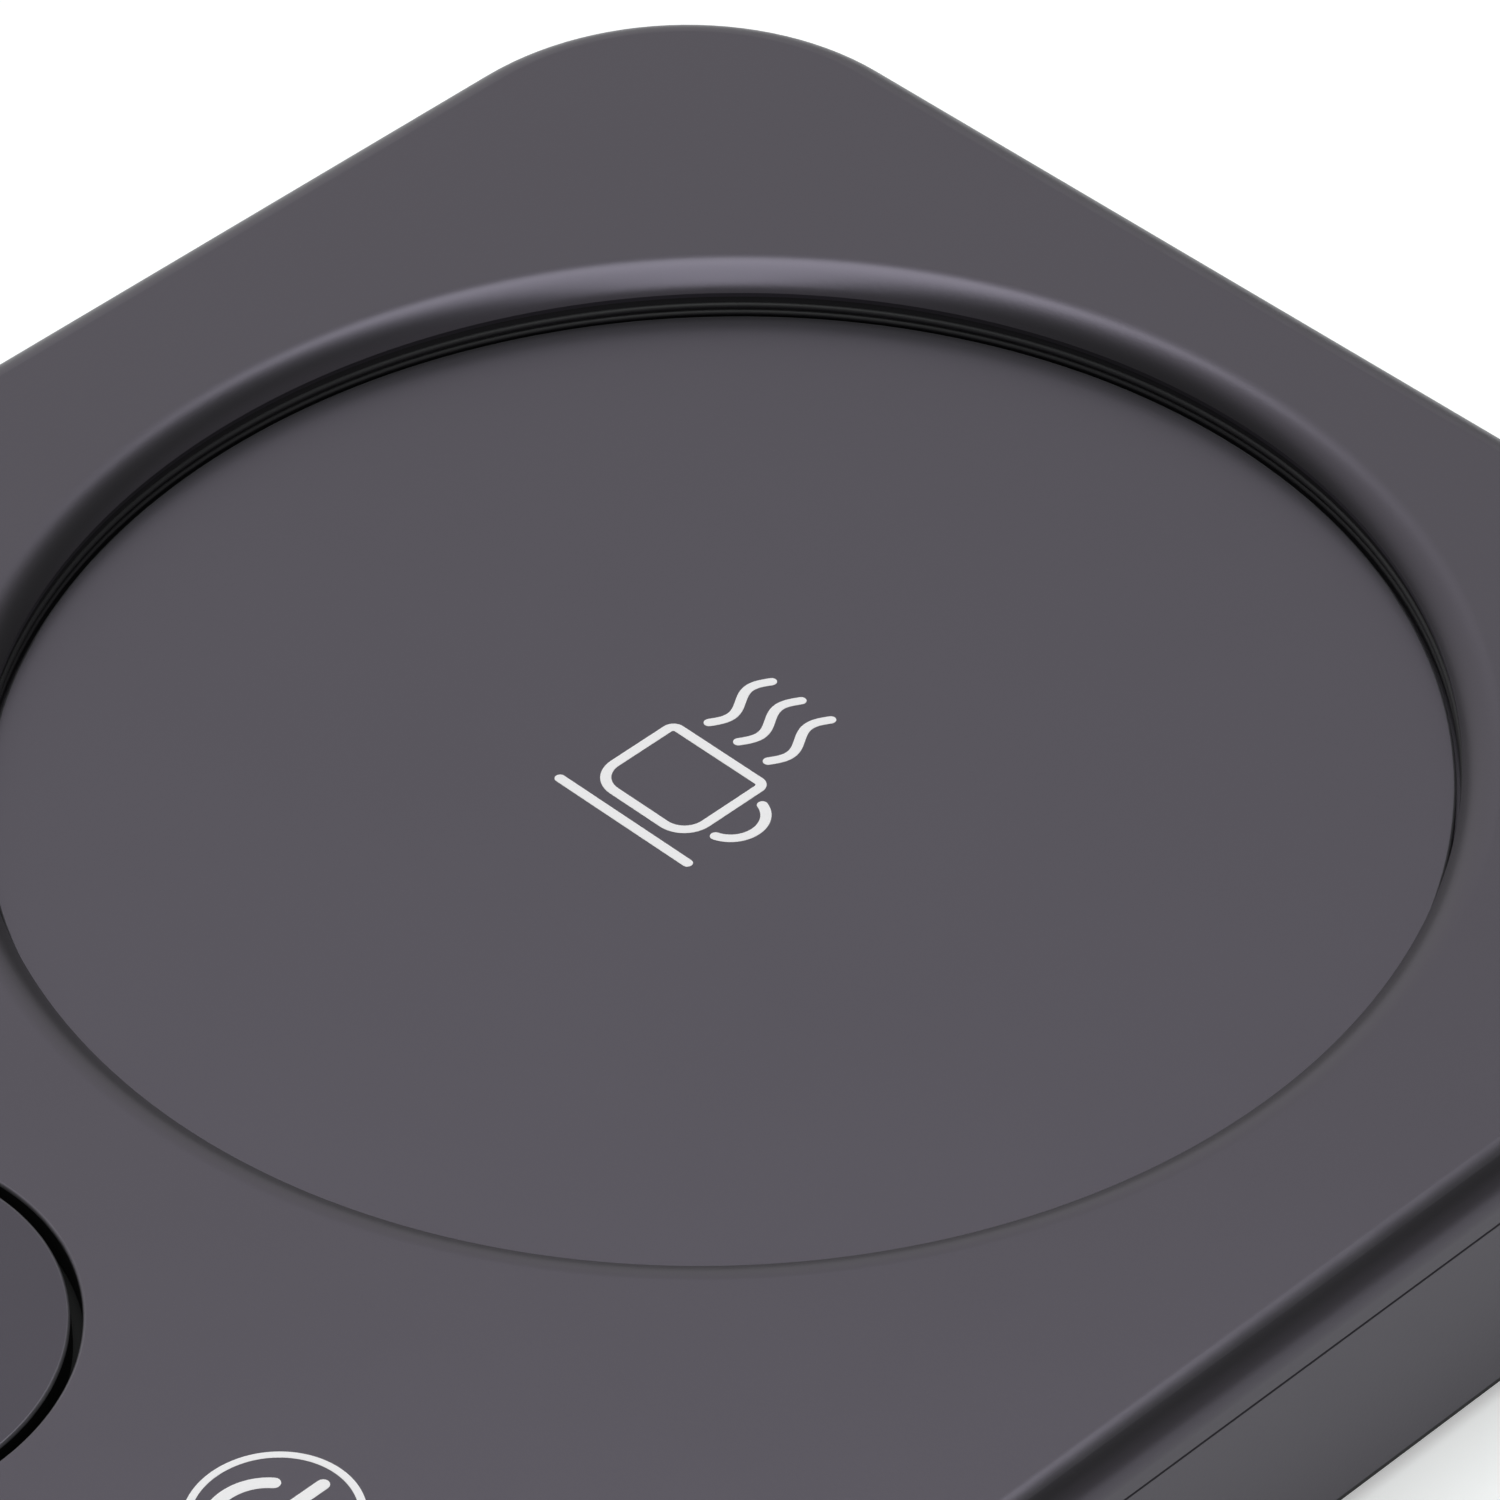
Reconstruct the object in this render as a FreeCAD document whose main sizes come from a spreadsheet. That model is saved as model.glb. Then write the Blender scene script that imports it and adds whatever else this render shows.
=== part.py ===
import FreeCAD, Part
import math
import os
import re

import Sketcher

# Electric mug warmer: a rounded two-part case, a round heating plate sunk in its top, and a large
# round push button in front of it. Millimetres. Origin at the centre of the footprint on the table,
# +X to the user's right, +Y to the back, +Z up.

SIZES = [
    ("body_width", 121.0, "case, left to right"),
    ("body_length", 154.0, "case, front to back"),
    ("body_corner", 19.0, "case corner radius in plan"),
    ("top_height", 18.5, "table to the top face"),
    ("foot_lift", 1.3, "table to the underside of the case"),
    ("edge_round", 2.6, "rounding of the top edge"),
    ("seam_drop", 3.7, "top face to the parting line"),
    ("seam_bevel", 0.2, "bevel on both sides of the parting line"),
    ("foot_bevel", 0.6, "bevel round the underside"),
    ("shell_wall", 2.2, "top and wall of the upper shell"),
    ("tray_wall", 2.2, "wall of the lower tray"),
    ("tray_floor", 2.0, "floor of the lower tray"),
    ("tongue_depth", 2.5, "locating tongue below the parting line"),
    ("tongue_wall", 1.2, "thickness of the locating tongue"),
    ("tongue_gap", 0.15, "clearance round the tongue"),
    ("plate_back", 55.75, "plate axis to the back wall"),
    ("plate_radius", 45.0, "heating plate, visible face"),
    ("plate_drop", 3.0, "top face to the plate face"),
    ("plate_step", 0.9, "plate face to its flange"),
    ("plate_flange", 1.4, "flange thickness"),
    ("flange_reach", 2.4, "flange beyond the visible face"),
    ("plate_bevel", 0.2, "bevel on the plate's edge"),
    ("gasket_gap", 0.45, "gap between plate and gasket"),
    ("gasket_wall", 2.0, "gasket, radial thickness"),
    ("bore_step", 0.15, "shell bore inside the gasket"),
    ("recess_round", 3.0, "rounding of the recess edge"),
    ("recess_lip", 0.3, "straight wall below that rounding"),
    ("recess_reach", 2.54, "width of that rounding in plan"),
    ("heater_inset", 3.0, "heating element inside the plate's face"),
    ("heater_thick", 0.7, "heating element"),
    ("pad_thick", 1.6, "insulation"),
    ("pad_inset", 2.0, "insulation inside the plate's face"),
    ("pad_window", 9.0, "window for the sensors, radius"),
    ("clamp_thick", 0.8, "clamp plate"),
    ("clamp_rim", 1.0, "clamp plate beyond the plate's face"),
    ("clamp_out", 4.0, "clamp screws outside the plate's flange"),
    ("clamp_angle", 30.0, "clamp screws, angle off the side axis"),
    ("boss_radius", 2.6, "screw boss under the shell"),
    ("screw_radius", 1.5, "casing screw shank"),
    ("small_screw_radius", 1.0, "small screw shank"),
    ("screw_fit", 0.05, "screw in its pilot hole, radial"),
    ("screw_pass", 0.2, "screw in a clearance hole, radial"),
    ("head_tall", 1.4, "screw head height"),
    ("head_ratio", 1.85, "screw head radius over shank radius"),
    ("slot_wide", 0.6, "driver slot"),
    ("slot_deep", 0.6, "driver slot"),
    ("button_room", 10.155, "button's edge to either end of the space before the recess"),
    ("button_gap", 0.7, "groove round the push button"),
    ("button_bevel", 0.2, "bevel on both sides of the groove"),
    ("button_shift", 0.445, "button axis behind the middle of that space"),
    ("button_travel", 1.2, "button travel"),
    ("button_top", 2.0, "button, top thickness"),
    ("button_skirt", 2.0, "button, skirt thickness"),
    ("collar_reach", 1.95, "button, retaining collar beyond its edge"),
    ("collar_tall", 1.3, "button, retaining collar"),
    ("stop_gap", 0.1, "collar to the shell at rest"),
    ("stem_radius", 3.2, "button stem"),
    ("stem_long", 5.9, "button stem"),
    ("stem_fit", 0.08, "stem in its guide, radial"),
    ("guide_gap", 0.2, "collar in its guide, radial"),
    ("guide_wall", 2.8, "button guide wall"),
    ("guide_tall", 4.8, "button guide height"),
    ("guide_floor", 1.2, "button guide floor"),
    ("ear_out", 8.45, "guide screws outside the button"),
    ("ear_radius", 2.6, "guide ear"),
    ("spring_wire", 0.25, "return spring wire, radius"),
    ("spring_turns", 4.0, "return spring"),
    ("spring_seat", 0.1, "spring end to its seat"),
    ("board_lift", 1.7, "tray floor to the board"),
    ("board_thick", 1.6, "control board"),
    ("board_side", 18.5, "control board to the side walls"),
    ("board_deep", 44.0, "control board, front to back"),
    ("board_margin", 7.0, "board to the front wall's outside"),
    ("board_inset", 4.0, "board screws from its edges"),
    ("standoff_radius", 2.6, "board standoff"),
    ("switch_side", 7.0, "switch"),
    ("switch_tall", 2.6, "switch"),
    ("switch_floor", 0.3, "switch base thickness"),
    ("plunger_radius", 1.4, "switch plunger"),
    ("plunger_fit", 0.08, "plunger in the switch, radial"),
    ("plunger_grip", 2.0, "plunger inside the stem"),
    ("socket_fit", 0.03, "plunger in the stem, radial"),
    ("corner_inset", 12.0, "casing screws and feet from the walls"),
    ("corner_boss", 4.6, "tray boss at a casing screw"),
    ("corner_post", 3.4, "shell post at a casing screw"),
    ("post_split", 10.5, "height where boss and post meet"),
    ("screw_bite", 4.0, "casing screw inside the post"),
    ("foot_radius", 5.0, "rubber foot"),
    ("foot_seat", 0.9, "foot sunk in the tray"),
    ("foot_fit", 0.2, "foot in its recess, radial"),
    ("well_fit", 0.3, "screw head in its well, radial"),
    ("well_web", 1.0, "foot recess to the screw head"),
    ("inlet_side", 24.0, "inlet, right of the middle"),
    ("inlet_wide", 8.94, "inlet shell, outside"),
    ("inlet_tall", 3.26, "inlet shell, outside"),
    ("inlet_sheet", 0.3, "inlet shell, sheet"),
    ("inlet_long", 7.3, "inlet shell"),
    ("inlet_set_back", 0.4, "inlet mouth inside the back wall"),
    ("inlet_fit", 0.25, "inlet shell in the wall"),
    ("insert_deep", 1.6, "inlet insert, closed end"),
    ("insert_fit", 0.02, "inlet insert in its shell"),
    ("tongue_wide", 6.7, "inlet tongue"),
    ("tongue_tall", 0.7, "inlet tongue"),
    ("tongue_back", 0.8, "inlet tongue inside the mouth"),
    ("inlet_board_wide", 16.0, "inlet board"),
    ("inlet_board_deep", 11.0, "inlet board"),
    ("inlet_board_thick", 1.2, "inlet board"),
    ("inlet_board_gap", 0.3, "inlet board to the back wall"),
    ("inlet_screw_side", 5.6, "inlet board screws from its middle"),
    ("inlet_screw_back", 2.6, "inlet board screws from its front edge"),
    ("touch_side", 29.8, "touch symbol, right of the middle"),
    ("touch_back", 9.2, "touch symbol behind the button axis"),
    ("touch_pad", 8.0, "touch electrode"),
    ("plug_wide", 7.0, "wire connector"),
    ("plug_deep", 5.0, "wire connector"),
    ("plug_clear", 0.2, "wire connector under the clamp plate"),
    ("plug_side", 10.0, "heater and sensor connectors from the middle"),
    ("plug_gap", 2.0, "connectors from the board's back edge"),
    ("heater_wire", 0.8, "heater and supply wires, radius"),
    ("sensor_wire", 0.5, "sensor wires, radius"),
    ("wire_gap", 1.3, "wire from the middle of its pair"),
    ("wire_bend", 2.0, "bend radius of a wire"),
    ("bead_radius", 1.1, "temperature sensor"),
    ("bead_long", 4.0, "temperature sensor"),
    ("fuse_radius", 1.2, "thermal fuse"),
    ("fuse_long", 8.0, "thermal fuse"),
    ("fuse_offset", 5.0, "thermal fuse behind the plate axis"),
    ("can_radius", 4.0, "capacitor"),
    ("can_tall", 7.7, "capacitor"),
    ("can_inset", 11.0, "capacitor from the board's side"),
    ("can_back", 30.0, "capacitor behind the board's front edge"),
    ("chip_long", 9.9, "control chip"),
    ("chip_wide", 3.9, "control chip"),
    ("chip_tall", 1.5, "control chip"),
    ("leg_reach", 1.0, "chip legs beyond the body"),
    ("leg_wide", 0.42, "chip leg"),
    ("leg_pitch", 1.27, "chip legs"),
    ("chip_inset", 9.0, "control chip from the board's side"),
    ("chip_back", 12.0, "control chip behind the board's front edge"),
    ("power_inset", 16.0, "power transistor from the board's side"),
    ("power_back", 8.0, "power transistor behind the board's front edge"),
    ("power_wide", 6.6, "power transistor"),
    ("power_deep", 6.1, "power transistor"),
    ("power_tall", 2.3, "power transistor"),
    ("tab_deep", 1.2, "power transistor tab"),
    ("tab_thick", 0.5, "power transistor tab"),
]

LEVELS = {
    "tray_bottom": "foot_lift",
    "floor_top": "foot_lift + tray_floor",
    "seam": "top_height - seam_drop",
    "shell_under": "top_height - shell_wall",
    "plate_top": "top_height - plate_drop",
    "flange_top": "top_height - plate_drop - plate_step",
    "plate_under": "top_height - plate_drop - plate_step - plate_flange",
    "heater_under": "top_height - plate_drop - plate_step - plate_flange - heater_thick",
    "pad_under": "top_height - plate_drop - plate_step - plate_flange - heater_thick - pad_thick",
    "clamp_under": "top_height - plate_drop - plate_step - plate_flange - heater_thick - pad_thick"
                   " - clamp_thick",
    "board_under": "foot_lift + tray_floor + board_lift",
    "board_top": "foot_lift + tray_floor + board_lift + board_thick",
    "guide_under": "top_height - shell_wall - guide_tall",
    "guide_seat": "top_height - shell_wall - guide_tall + guide_floor",
    "collar_top": "top_height - shell_wall - stop_gap",
    "button_roof": "top_height - button_top",
    "stem_end": "top_height - button_top - stem_long",
    "inlet_board_top": "foot_lift + tray_floor + board_lift + inlet_board_thick",
    "inlet_axis": "foot_lift + tray_floor + board_lift + inlet_board_thick + inlet_tall / 2",
    "inlet_board_back": "body_length / 2 - tray_wall - inlet_board_gap",
    "inlet_board_front": "body_length / 2 - tray_wall - inlet_board_gap - inlet_board_deep",
    "wire_level": "foot_lift + tray_floor + board_lift + board_thick + plug_tall / 2",
    "heater_radius": "plate_radius - heater_inset",
    "pad_radius": "plate_radius - pad_inset",
    "clamp_radius": "plate_radius + clamp_rim",
    "clamp_circle": "plate_radius + flange_reach + clamp_out",
    "front_space": "body_length - plate_back - (plate_radius + gasket_gap - bore_step + recess_reach)",
    "button_radius": "front_space / 2 - button_room",
    "button_centre": "body_length / 2 - front_space / 2 - button_shift",
    "collar_radius": "button_radius + collar_reach",
    "guide_ear": "button_radius + ear_out",
    "spring_radius": "(stem_radius + button_radius - button_skirt) / 2",
    "board_width": "body_width - 2 * board_side",
    "board_front": "body_length / 2 - board_margin",
    "touch_front": "button_centre - touch_back",
    "plug_tall": "clamp_under - board_top - plug_clear",
    "can_side": "board_width / 2 - can_inset",
    "can_front": "board_front - can_back",
    "chip_side": "board_width / 2 - chip_inset",
    "chip_front": "board_front - chip_back",
    "power_side": "board_width / 2 - power_inset",
    "power_front": "board_front - power_back",
    "half_width": "body_width / 2",
    "half_length": "body_length / 2",
    "plate_y": "body_length / 2 - plate_back",
    "gasket_radius": "plate_radius + gasket_gap",
    "bore_radius": "plate_radius + gasket_gap - bore_step",
    "guide_radius": "collar_radius + guide_gap",
    "corner_x": "body_width / 2 - corner_inset",
    "corner_y": "body_length / 2 - corner_inset",
    "plug_y": "board_deep - board_front - plug_gap",
}

doc = FreeCAD.newDocument("MugWarmer")
sheet = doc.addObject("Spreadsheet::Sheet", "Sizes")
for row, (alias, value, note) in enumerate(SIZES, start=1):
    sheet.set("A%d" % row, note)
    sheet.set("B%d" % row, str(value))
    sheet.setAlias("B%d" % row, alias)
doc.recompute()

LEAST_CUT = 0.01  # cubic millimetres that a pocket takes away at least
SIZE_NAMES = {alias for alias, value, note in SIZES}
nodes = []


def link(text):
    """Write a size expression so that it points at the sheet's cells."""
    def cell(found):
        word = found.group(0)
        if word in LEVELS:
            return "(" + link(LEVELS[word]) + ")"
        if word in SIZE_NAMES:
            return "Sizes." + word
        return word
    return re.sub(r"[a-z][a-z_]+", cell, str(text))


def size(text):
    """The number that a size expression stands for."""
    found = sheet.evalExpression(link(text))
    return float(getattr(found, "Value", found))


def bind(thing, prop, text):
    thing.setExpression(prop, link(text))


def place(thing, x="0", y="0", z="0"):
    for axis, text in zip("xyz", (x, y, z)):
        if str(text) != "0":
            bind(thing, "Placement.Base." + axis, text)
    return thing


def keep(thing, name):
    """Name a finished sub-part."""
    thing.Label = name
    nodes.append(thing)
    return thing


# Sketches and features of moulded and turned pieces

def new_body(name):
    return doc.addObject("PartDesign::Body", name + "_body")


def new_sketch(body, name, plane="XY_Plane", level="0"):
    sketch = body.newObject("Sketcher::SketchObject", name)
    origin = [item for item in body.Origin.OriginFeatures if item.Role == plane][0]
    sketch.AttachmentSupport = [(origin, "")]
    sketch.MapMode = "FlatFace"
    if str(level) != "0":
        bind(sketch, "AttachmentOffset.Base.z", level)
    return sketch


def fix_point(sketch, item, point, x, y):
    """Tie a point of a sketch to two size expressions."""
    for kind, text in (("DistanceX", x), ("DistanceY", y)):
        index = sketch.addConstraint(Sketcher.Constraint(kind, -1, 1, item, point, size(text)))
        sketch.setExpression("Constraints[%d]" % index, link(text))


def fix_radius(sketch, item, radius):
    index = sketch.addConstraint(Sketcher.Constraint("Radius", item, size(radius)))
    sketch.setExpression("Constraints[%d]" % index, link(radius))


def draw_outline(sketch, points):
    """A closed outline. A third entry at a point is the radius of the arc to the next point."""
    spots = [FreeCAD.Vector(size(point[0]), size(point[1]), 0) for point in points]
    items = []
    for number, point in enumerate(points):
        start = spots[number]
        end = spots[(number + 1) % len(points)]
        if len(point) == 3:
            radius = size(point[2])
            chord = end - start
            middle = (start + end) * 0.5
            side = FreeCAD.Vector(-chord.y, chord.x, 0).normalize()
            rise = math.sqrt(radius ** 2 - (chord.Length / 2) ** 2)
            centre = middle + side * rise
            first = math.atan2(start.y - centre.y, start.x - centre.x)
            last = math.atan2(end.y - centre.y, end.x - centre.x)
            circle = Part.Circle(centre, FreeCAD.Vector(0, 0, 1), radius)
            items.append((sketch.addGeometry(Part.ArcOfCircle(circle, first, last)), point[2]))
        else:
            items.append((sketch.addGeometry(Part.LineSegment(start, end)), None))
    for number, (item, radius) in enumerate(items):
        following = items[(number + 1) % len(items)][0]
        sketch.addConstraint(Sketcher.Constraint("Coincident", item, 2, following, 1))
        fix_point(sketch, item, 1, points[number][0], points[number][1])
        if radius is not None:
            fix_radius(sketch, item, radius)


def draw_rounded_rectangle(sketch, half_x, half_y, corner):
    """A rectangle with round corners, centred on the sketch."""
    wide, deep, radius = size(half_x), size(half_y), size(corner)
    signs = ((1, 1), (-1, 1), (-1, -1), (1, -1))
    arcs = []
    for number, (sx, sy) in enumerate(signs):
        centre = FreeCAD.Vector(sx * (wide - radius), sy * (deep - radius), 0)
        circle = Part.Circle(centre, FreeCAD.Vector(0, 0, 1), radius)
        start = number * math.pi / 2
        arcs.append(sketch.addGeometry(Part.ArcOfCircle(circle, start, start + math.pi / 2)))
    lines = []
    for number in range(4):
        one = sketch.getPoint(arcs[number], 2)
        two = sketch.getPoint(arcs[(number + 1) % 4], 1)
        lines.append(sketch.addGeometry(Part.LineSegment(one, two)))
    for number, (sx, sy) in enumerate(signs):
        fix_point(sketch, arcs[number], 3, "%d * (%s - (%s))" % (sx, half_x, corner),
                  "%d * (%s - (%s))" % (sy, half_y, corner))
        fix_radius(sketch, arcs[number], corner)
        sketch.addConstraint(Sketcher.Constraint("Tangent", arcs[number], 2, lines[number], 1))
        sketch.addConstraint(Sketcher.Constraint("Tangent", lines[number], 2,
                                                 arcs[(number + 1) % 4], 1))


def draw_circles(sketch, centres, radius):
    for x, y in centres:
        circle = Part.Circle(FreeCAD.Vector(size(x), size(y), 0), FreeCAD.Vector(0, 0, 1), size(radius))
        item = sketch.addGeometry(circle)
        fix_point(sketch, item, 3, x, y)
        fix_radius(sketch, item, radius)


def draw_slot(sketch, x, y, half_wide, half_tall):
    """A slot with round ends, centred on x and y."""
    reach = "(%s - (%s))" % (half_wide, half_tall)
    low, high = "%s - (%s)" % (y, half_tall), "%s + %s" % (y, half_tall)
    left, right = "%s - %s" % (x, reach), "%s + %s" % (x, reach)
    ends = []
    for centre, start in ((right, -math.pi / 2), (left, math.pi / 2)):
        middle = FreeCAD.Vector(size(centre), size(y), 0)
        circle = Part.Circle(middle, FreeCAD.Vector(0, 0, 1), size(half_tall))
        ends.append(sketch.addGeometry(Part.ArcOfCircle(circle, start, start + math.pi)))
    tops = [(right, left, high), (left, right, low)]
    for number, (start, end, level) in enumerate(tops):
        line = sketch.addGeometry(Part.LineSegment(
            FreeCAD.Vector(size(start), size(level), 0), FreeCAD.Vector(size(end), size(level), 0)))
        sketch.addConstraint(Sketcher.Constraint("Tangent", ends[number], 2, line, 1))
        sketch.addConstraint(Sketcher.Constraint("Tangent", line, 2, ends[1 - number], 1))
    for end, centre in zip(ends, (right, left)):
        fix_point(sketch, end, 3, centre, y)
    fix_radius(sketch, ends[0], half_tall)


def add_pad(body, sketch, length):
    pad = body.newObject("PartDesign::Pad", sketch.Name + "_pad")
    pad.Profile = sketch
    bind(pad, "Length", length)
    doc.recompute()
    return pad


def add_pocket(body, sketch, length, upwards=False):
    before = body.Shape.Volume
    pocket = body.newObject("PartDesign::Pocket", sketch.Name + "_pocket")
    pocket.Profile = sketch
    pocket.Reversed = upwards
    bind(pocket, "Length", length)
    doc.recompute()
    if body.Shape.Volume > before - LEAST_CUT:
        raise RuntimeError(sketch.Name + " cuts nothing")
    return pocket


def add_dressing(body, kind, base, edges, width):
    """A fillet or bevel on the edges of a feature."""
    feature = body.newObject("PartDesign::" + kind, kind.lower() + "_" + base.Name)
    feature.Base = (base, edges)
    bind(feature, "Radius" if kind == "Fillet" else "Size", width)
    doc.recompute()
    return feature


def edges_at(shape, level, inside=None):
    """The edges that lie flat at a height, all of them or those within a radius of a point."""
    found = []
    for number, edge in enumerate(shape.Edges, start=1):
        box = edge.BoundBox
        if abs(box.ZMin - level) > 1e-4 or abs(box.ZMax - level) > 1e-4:
            continue
        if inside is not None:
            x, y, reach = inside
            if math.hypot(box.Center.x - x, box.Center.y - y) > 0.5 or box.XLength > 2 * reach:
                continue
        found.append("Edge%d" % number)
    return found


def turned(name, points, x="0", y="0"):
    """A piece turned about a vertical axis, from an outline of radius and height."""
    body = new_body(name)
    sketch = new_sketch(body, name + "_outline", "XZ_Plane")
    draw_outline(sketch, points)
    turn = body.newObject("PartDesign::Revolution", name + "_turn")
    turn.Profile = sketch
    turn.ReferenceAxis = (sketch, ["V_Axis"])
    turn.Angle = 360
    doc.recompute()
    return place(body, x, y)


# Plain solids and what joins or cuts them

def cylinder(name, radius, tall, x="0", y="0", z="0"):
    thing = doc.addObject("Part::Cylinder", name)
    bind(thing, "Radius", radius)
    bind(thing, "Height", tall)
    return place(thing, x, y, z)


def bar(name, radius, long, x, y, z, along):
    """A cylinder lying along X or Y."""
    thing = cylinder(name, radius, long, x, y, z)
    turn = (FreeCAD.Vector(0, 1, 0), 90) if along == "X" else (FreeCAD.Vector(1, 0, 0), -90)
    thing.Placement.Rotation = FreeCAD.Rotation(*turn)
    return thing


def block(name, wide, deep, tall, x, y, z):
    """A box centred on x and y that stands on z."""
    thing = doc.addObject("Part::Box", name)
    bind(thing, "Length", wide)
    bind(thing, "Width", deep)
    bind(thing, "Height", tall)
    return place(thing, "%s - (%s) / 2" % (x, wide), "%s - (%s) / 2" % (y, deep), z)


def cut(name, base, tools):
    tool = tools[0] if len(tools) == 1 else fuse(name + "_tools", tools)
    thing = doc.addObject("Part::Cut", name)
    thing.Base = base
    thing.Tool = tool
    return thing


def fuse(name, pieces):
    thing = doc.addObject("Part::MultiFuse", name)
    thing.Shapes = pieces
    return thing


def group(name, pieces):
    thing = doc.addObject("Part::Compound", name)
    thing.Links = pieces
    return keep(thing, name)


def screw(name, radius, long, x, y, seat):
    """A slotted screw driven upwards, with its head below the seat."""
    head_radius = "%s * head_ratio" % radius
    under = "%s - head_tall" % seat
    shank = cylinder(name + "_shank", radius, "%s + head_tall" % long, x, y, under)
    head = cylinder(name + "_head", head_radius, "head_tall", x, y, under)
    slot = block(name + "_slot", "2 * %s - slot_wide" % head_radius, "slot_wide", "slot_deep", x, y, under)
    return cut(name, fuse(name + "_solid", [shank, head]), [slot])


def top_screw(name, x, y, seat):
    """A small slotted screw driven down into a standoff of the tray."""
    shank = cylinder(name + "_shank", "small_screw_radius", "%s - floor_top + head_tall" % seat,
                     x, y, "floor_top")
    head = cylinder(name + "_head", "small_screw_radius * head_ratio", "head_tall", x, y, seat)
    slot = block(name + "_slot", "2 * small_screw_radius * head_ratio - slot_wide", "slot_wide",
                 "slot_deep", x, y, "%s + head_tall - slot_deep" % seat)
    return cut(name, fuse(name + "_solid", [shank, head]), [slot])


def spots_on_circle(centre_y, circle, angle):
    """Four places on a circle, mirrored across both axes, as size expressions."""
    x = "%s * cos(%s)" % (circle, angle)
    y = "%s * sin(%s)" % (circle, angle)
    return [("%d * %s" % (sx, x), "%s + %d * %s" % (centre_y, sy, y))
            for sx, sy in ((1, 1), (-1, 1), (-1, -1), (1, -1))]


CLAMP_SPOTS = spots_on_circle("plate_y", "clamp_circle", "clamp_angle")
CORNER_SPOTS = [("%d * corner_x" % sx, "%d * corner_y" % sy)
                for sx, sy in ((1, 1), (-1, 1), (-1, -1), (1, -1))]
EAR_SPOTS = [("guide_ear", "-button_centre"), ("-guide_ear", "-button_centre")]
INLET_SPOTS = [("inlet_side + %d * inlet_screw_side" % side, "inlet_board_front + inlet_screw_back")
               for side in (1, -1)]
BOARD_SPOTS = [("%d * (board_width / 2 - board_inset)" % sx, y)
               for sx in (1, -1)
               for y in ("board_inset - board_front", "board_deep - board_front - board_inset")]


# Upper shell

def make_top_shell():
    body = new_body("top_shell")
    outline = new_sketch(body, "shell_outline", level="seam")
    draw_rounded_rectangle(outline, "half_width", "half_length", "body_corner")
    pad = add_pad(body, outline, "seam_drop")
    rounded = add_dressing(body, "Fillet", pad, edges_at(pad.Shape, size("top_height")), "edge_round")
    add_dressing(body, "Chamfer", rounded, edges_at(rounded.Shape, size("seam")), "seam_bevel")

    inner = "tray_wall + tongue_gap + tongue_wall"
    cavity = new_sketch(body, "shell_cavity", level="seam")
    draw_rounded_rectangle(cavity, "half_width - (%s)" % inner, "half_length - (%s)" % inner,
                           "body_corner - (%s)" % inner)
    add_pocket(body, cavity, "seam_drop - shell_wall", upwards=True)

    tongue = new_sketch(body, "shell_tongue", level="seam - tongue_depth")
    for inset in ("tray_wall + tongue_gap", inner):
        draw_rounded_rectangle(tongue, "half_width - (%s)" % inset, "half_length - (%s)" % inset,
                               "body_corner - (%s)" % inset)
    add_pad(body, tongue, "tongue_depth")

    for name, spots, radius, level in (
            ("clamp_posts", CLAMP_SPOTS, "boss_radius", "pad_under"),
            ("corner_posts", CORNER_SPOTS, "corner_post", "post_split"),
            ("guide_posts", EAR_SPOTS, "boss_radius", "guide_seat")):
        posts = new_sketch(body, name, level=level)
        draw_circles(posts, spots, radius)
        add_pad(body, posts, "shell_under - (%s) + shell_wall / 2" % level)

    recess = new_sketch(body, "plate_recess", "XZ_Plane", "-plate_y")
    rebate = "gasket_radius + gasket_wall + bore_step"
    rim_low = "top_height - recess_round + sqrt(recess_round ^ 2 - recess_reach ^ 2)"
    draw_outline(recess, [
        ("0", "top_height"),
        ("bore_radius + recess_reach", "top_height", "recess_round"),
        ("bore_radius", rim_low),
        ("bore_radius", "%s - recess_lip" % rim_low),
        (rebate, "%s - recess_lip" % rim_low),
        (rebate, "shell_under - shell_wall"),
        ("0", "shell_under - shell_wall"),
    ])
    before = body.Shape.Volume
    groove = body.newObject("PartDesign::Groove", "plate_recess_groove")
    groove.Profile = recess
    groove.ReferenceAxis = (recess, ["V_Axis"])
    groove.Angle = 360
    doc.recompute()
    if body.Shape.Volume > before - LEAST_CUT:
        raise RuntimeError("the recess cuts nothing")

    hole = new_sketch(body, "button_hole", level="top_height")
    draw_circles(hole, [("0", "-button_centre")], "button_radius + button_gap")
    opening = add_pocket(body, hole, "shell_wall * 2")
    rim = edges_at(opening.Shape, size("top_height"),
                   (0, -size("button_centre"), size("button_radius + button_gap") + 0.1))
    add_dressing(body, "Chamfer", opening, rim, "button_bevel")

    for name, spots, radius, level, deep in (
            ("clamp_pilots", CLAMP_SPOTS, "small_screw_radius + screw_fit", "pad_under",
             "shell_under - pad_under"),
            ("corner_pilots", CORNER_SPOTS, "screw_radius + screw_fit", "post_split",
             "screw_bite + head_tall / 2"),
            ("guide_pilots", EAR_SPOTS, "small_screw_radius + screw_fit", "guide_seat",
             "shell_under - guide_seat")):
        pilots = new_sketch(body, name, level=level)
        draw_circles(pilots, spots, radius)
        add_pocket(body, pilots, deep, upwards=True)
    return keep(body, "top_shell")


# Lower tray

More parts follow.
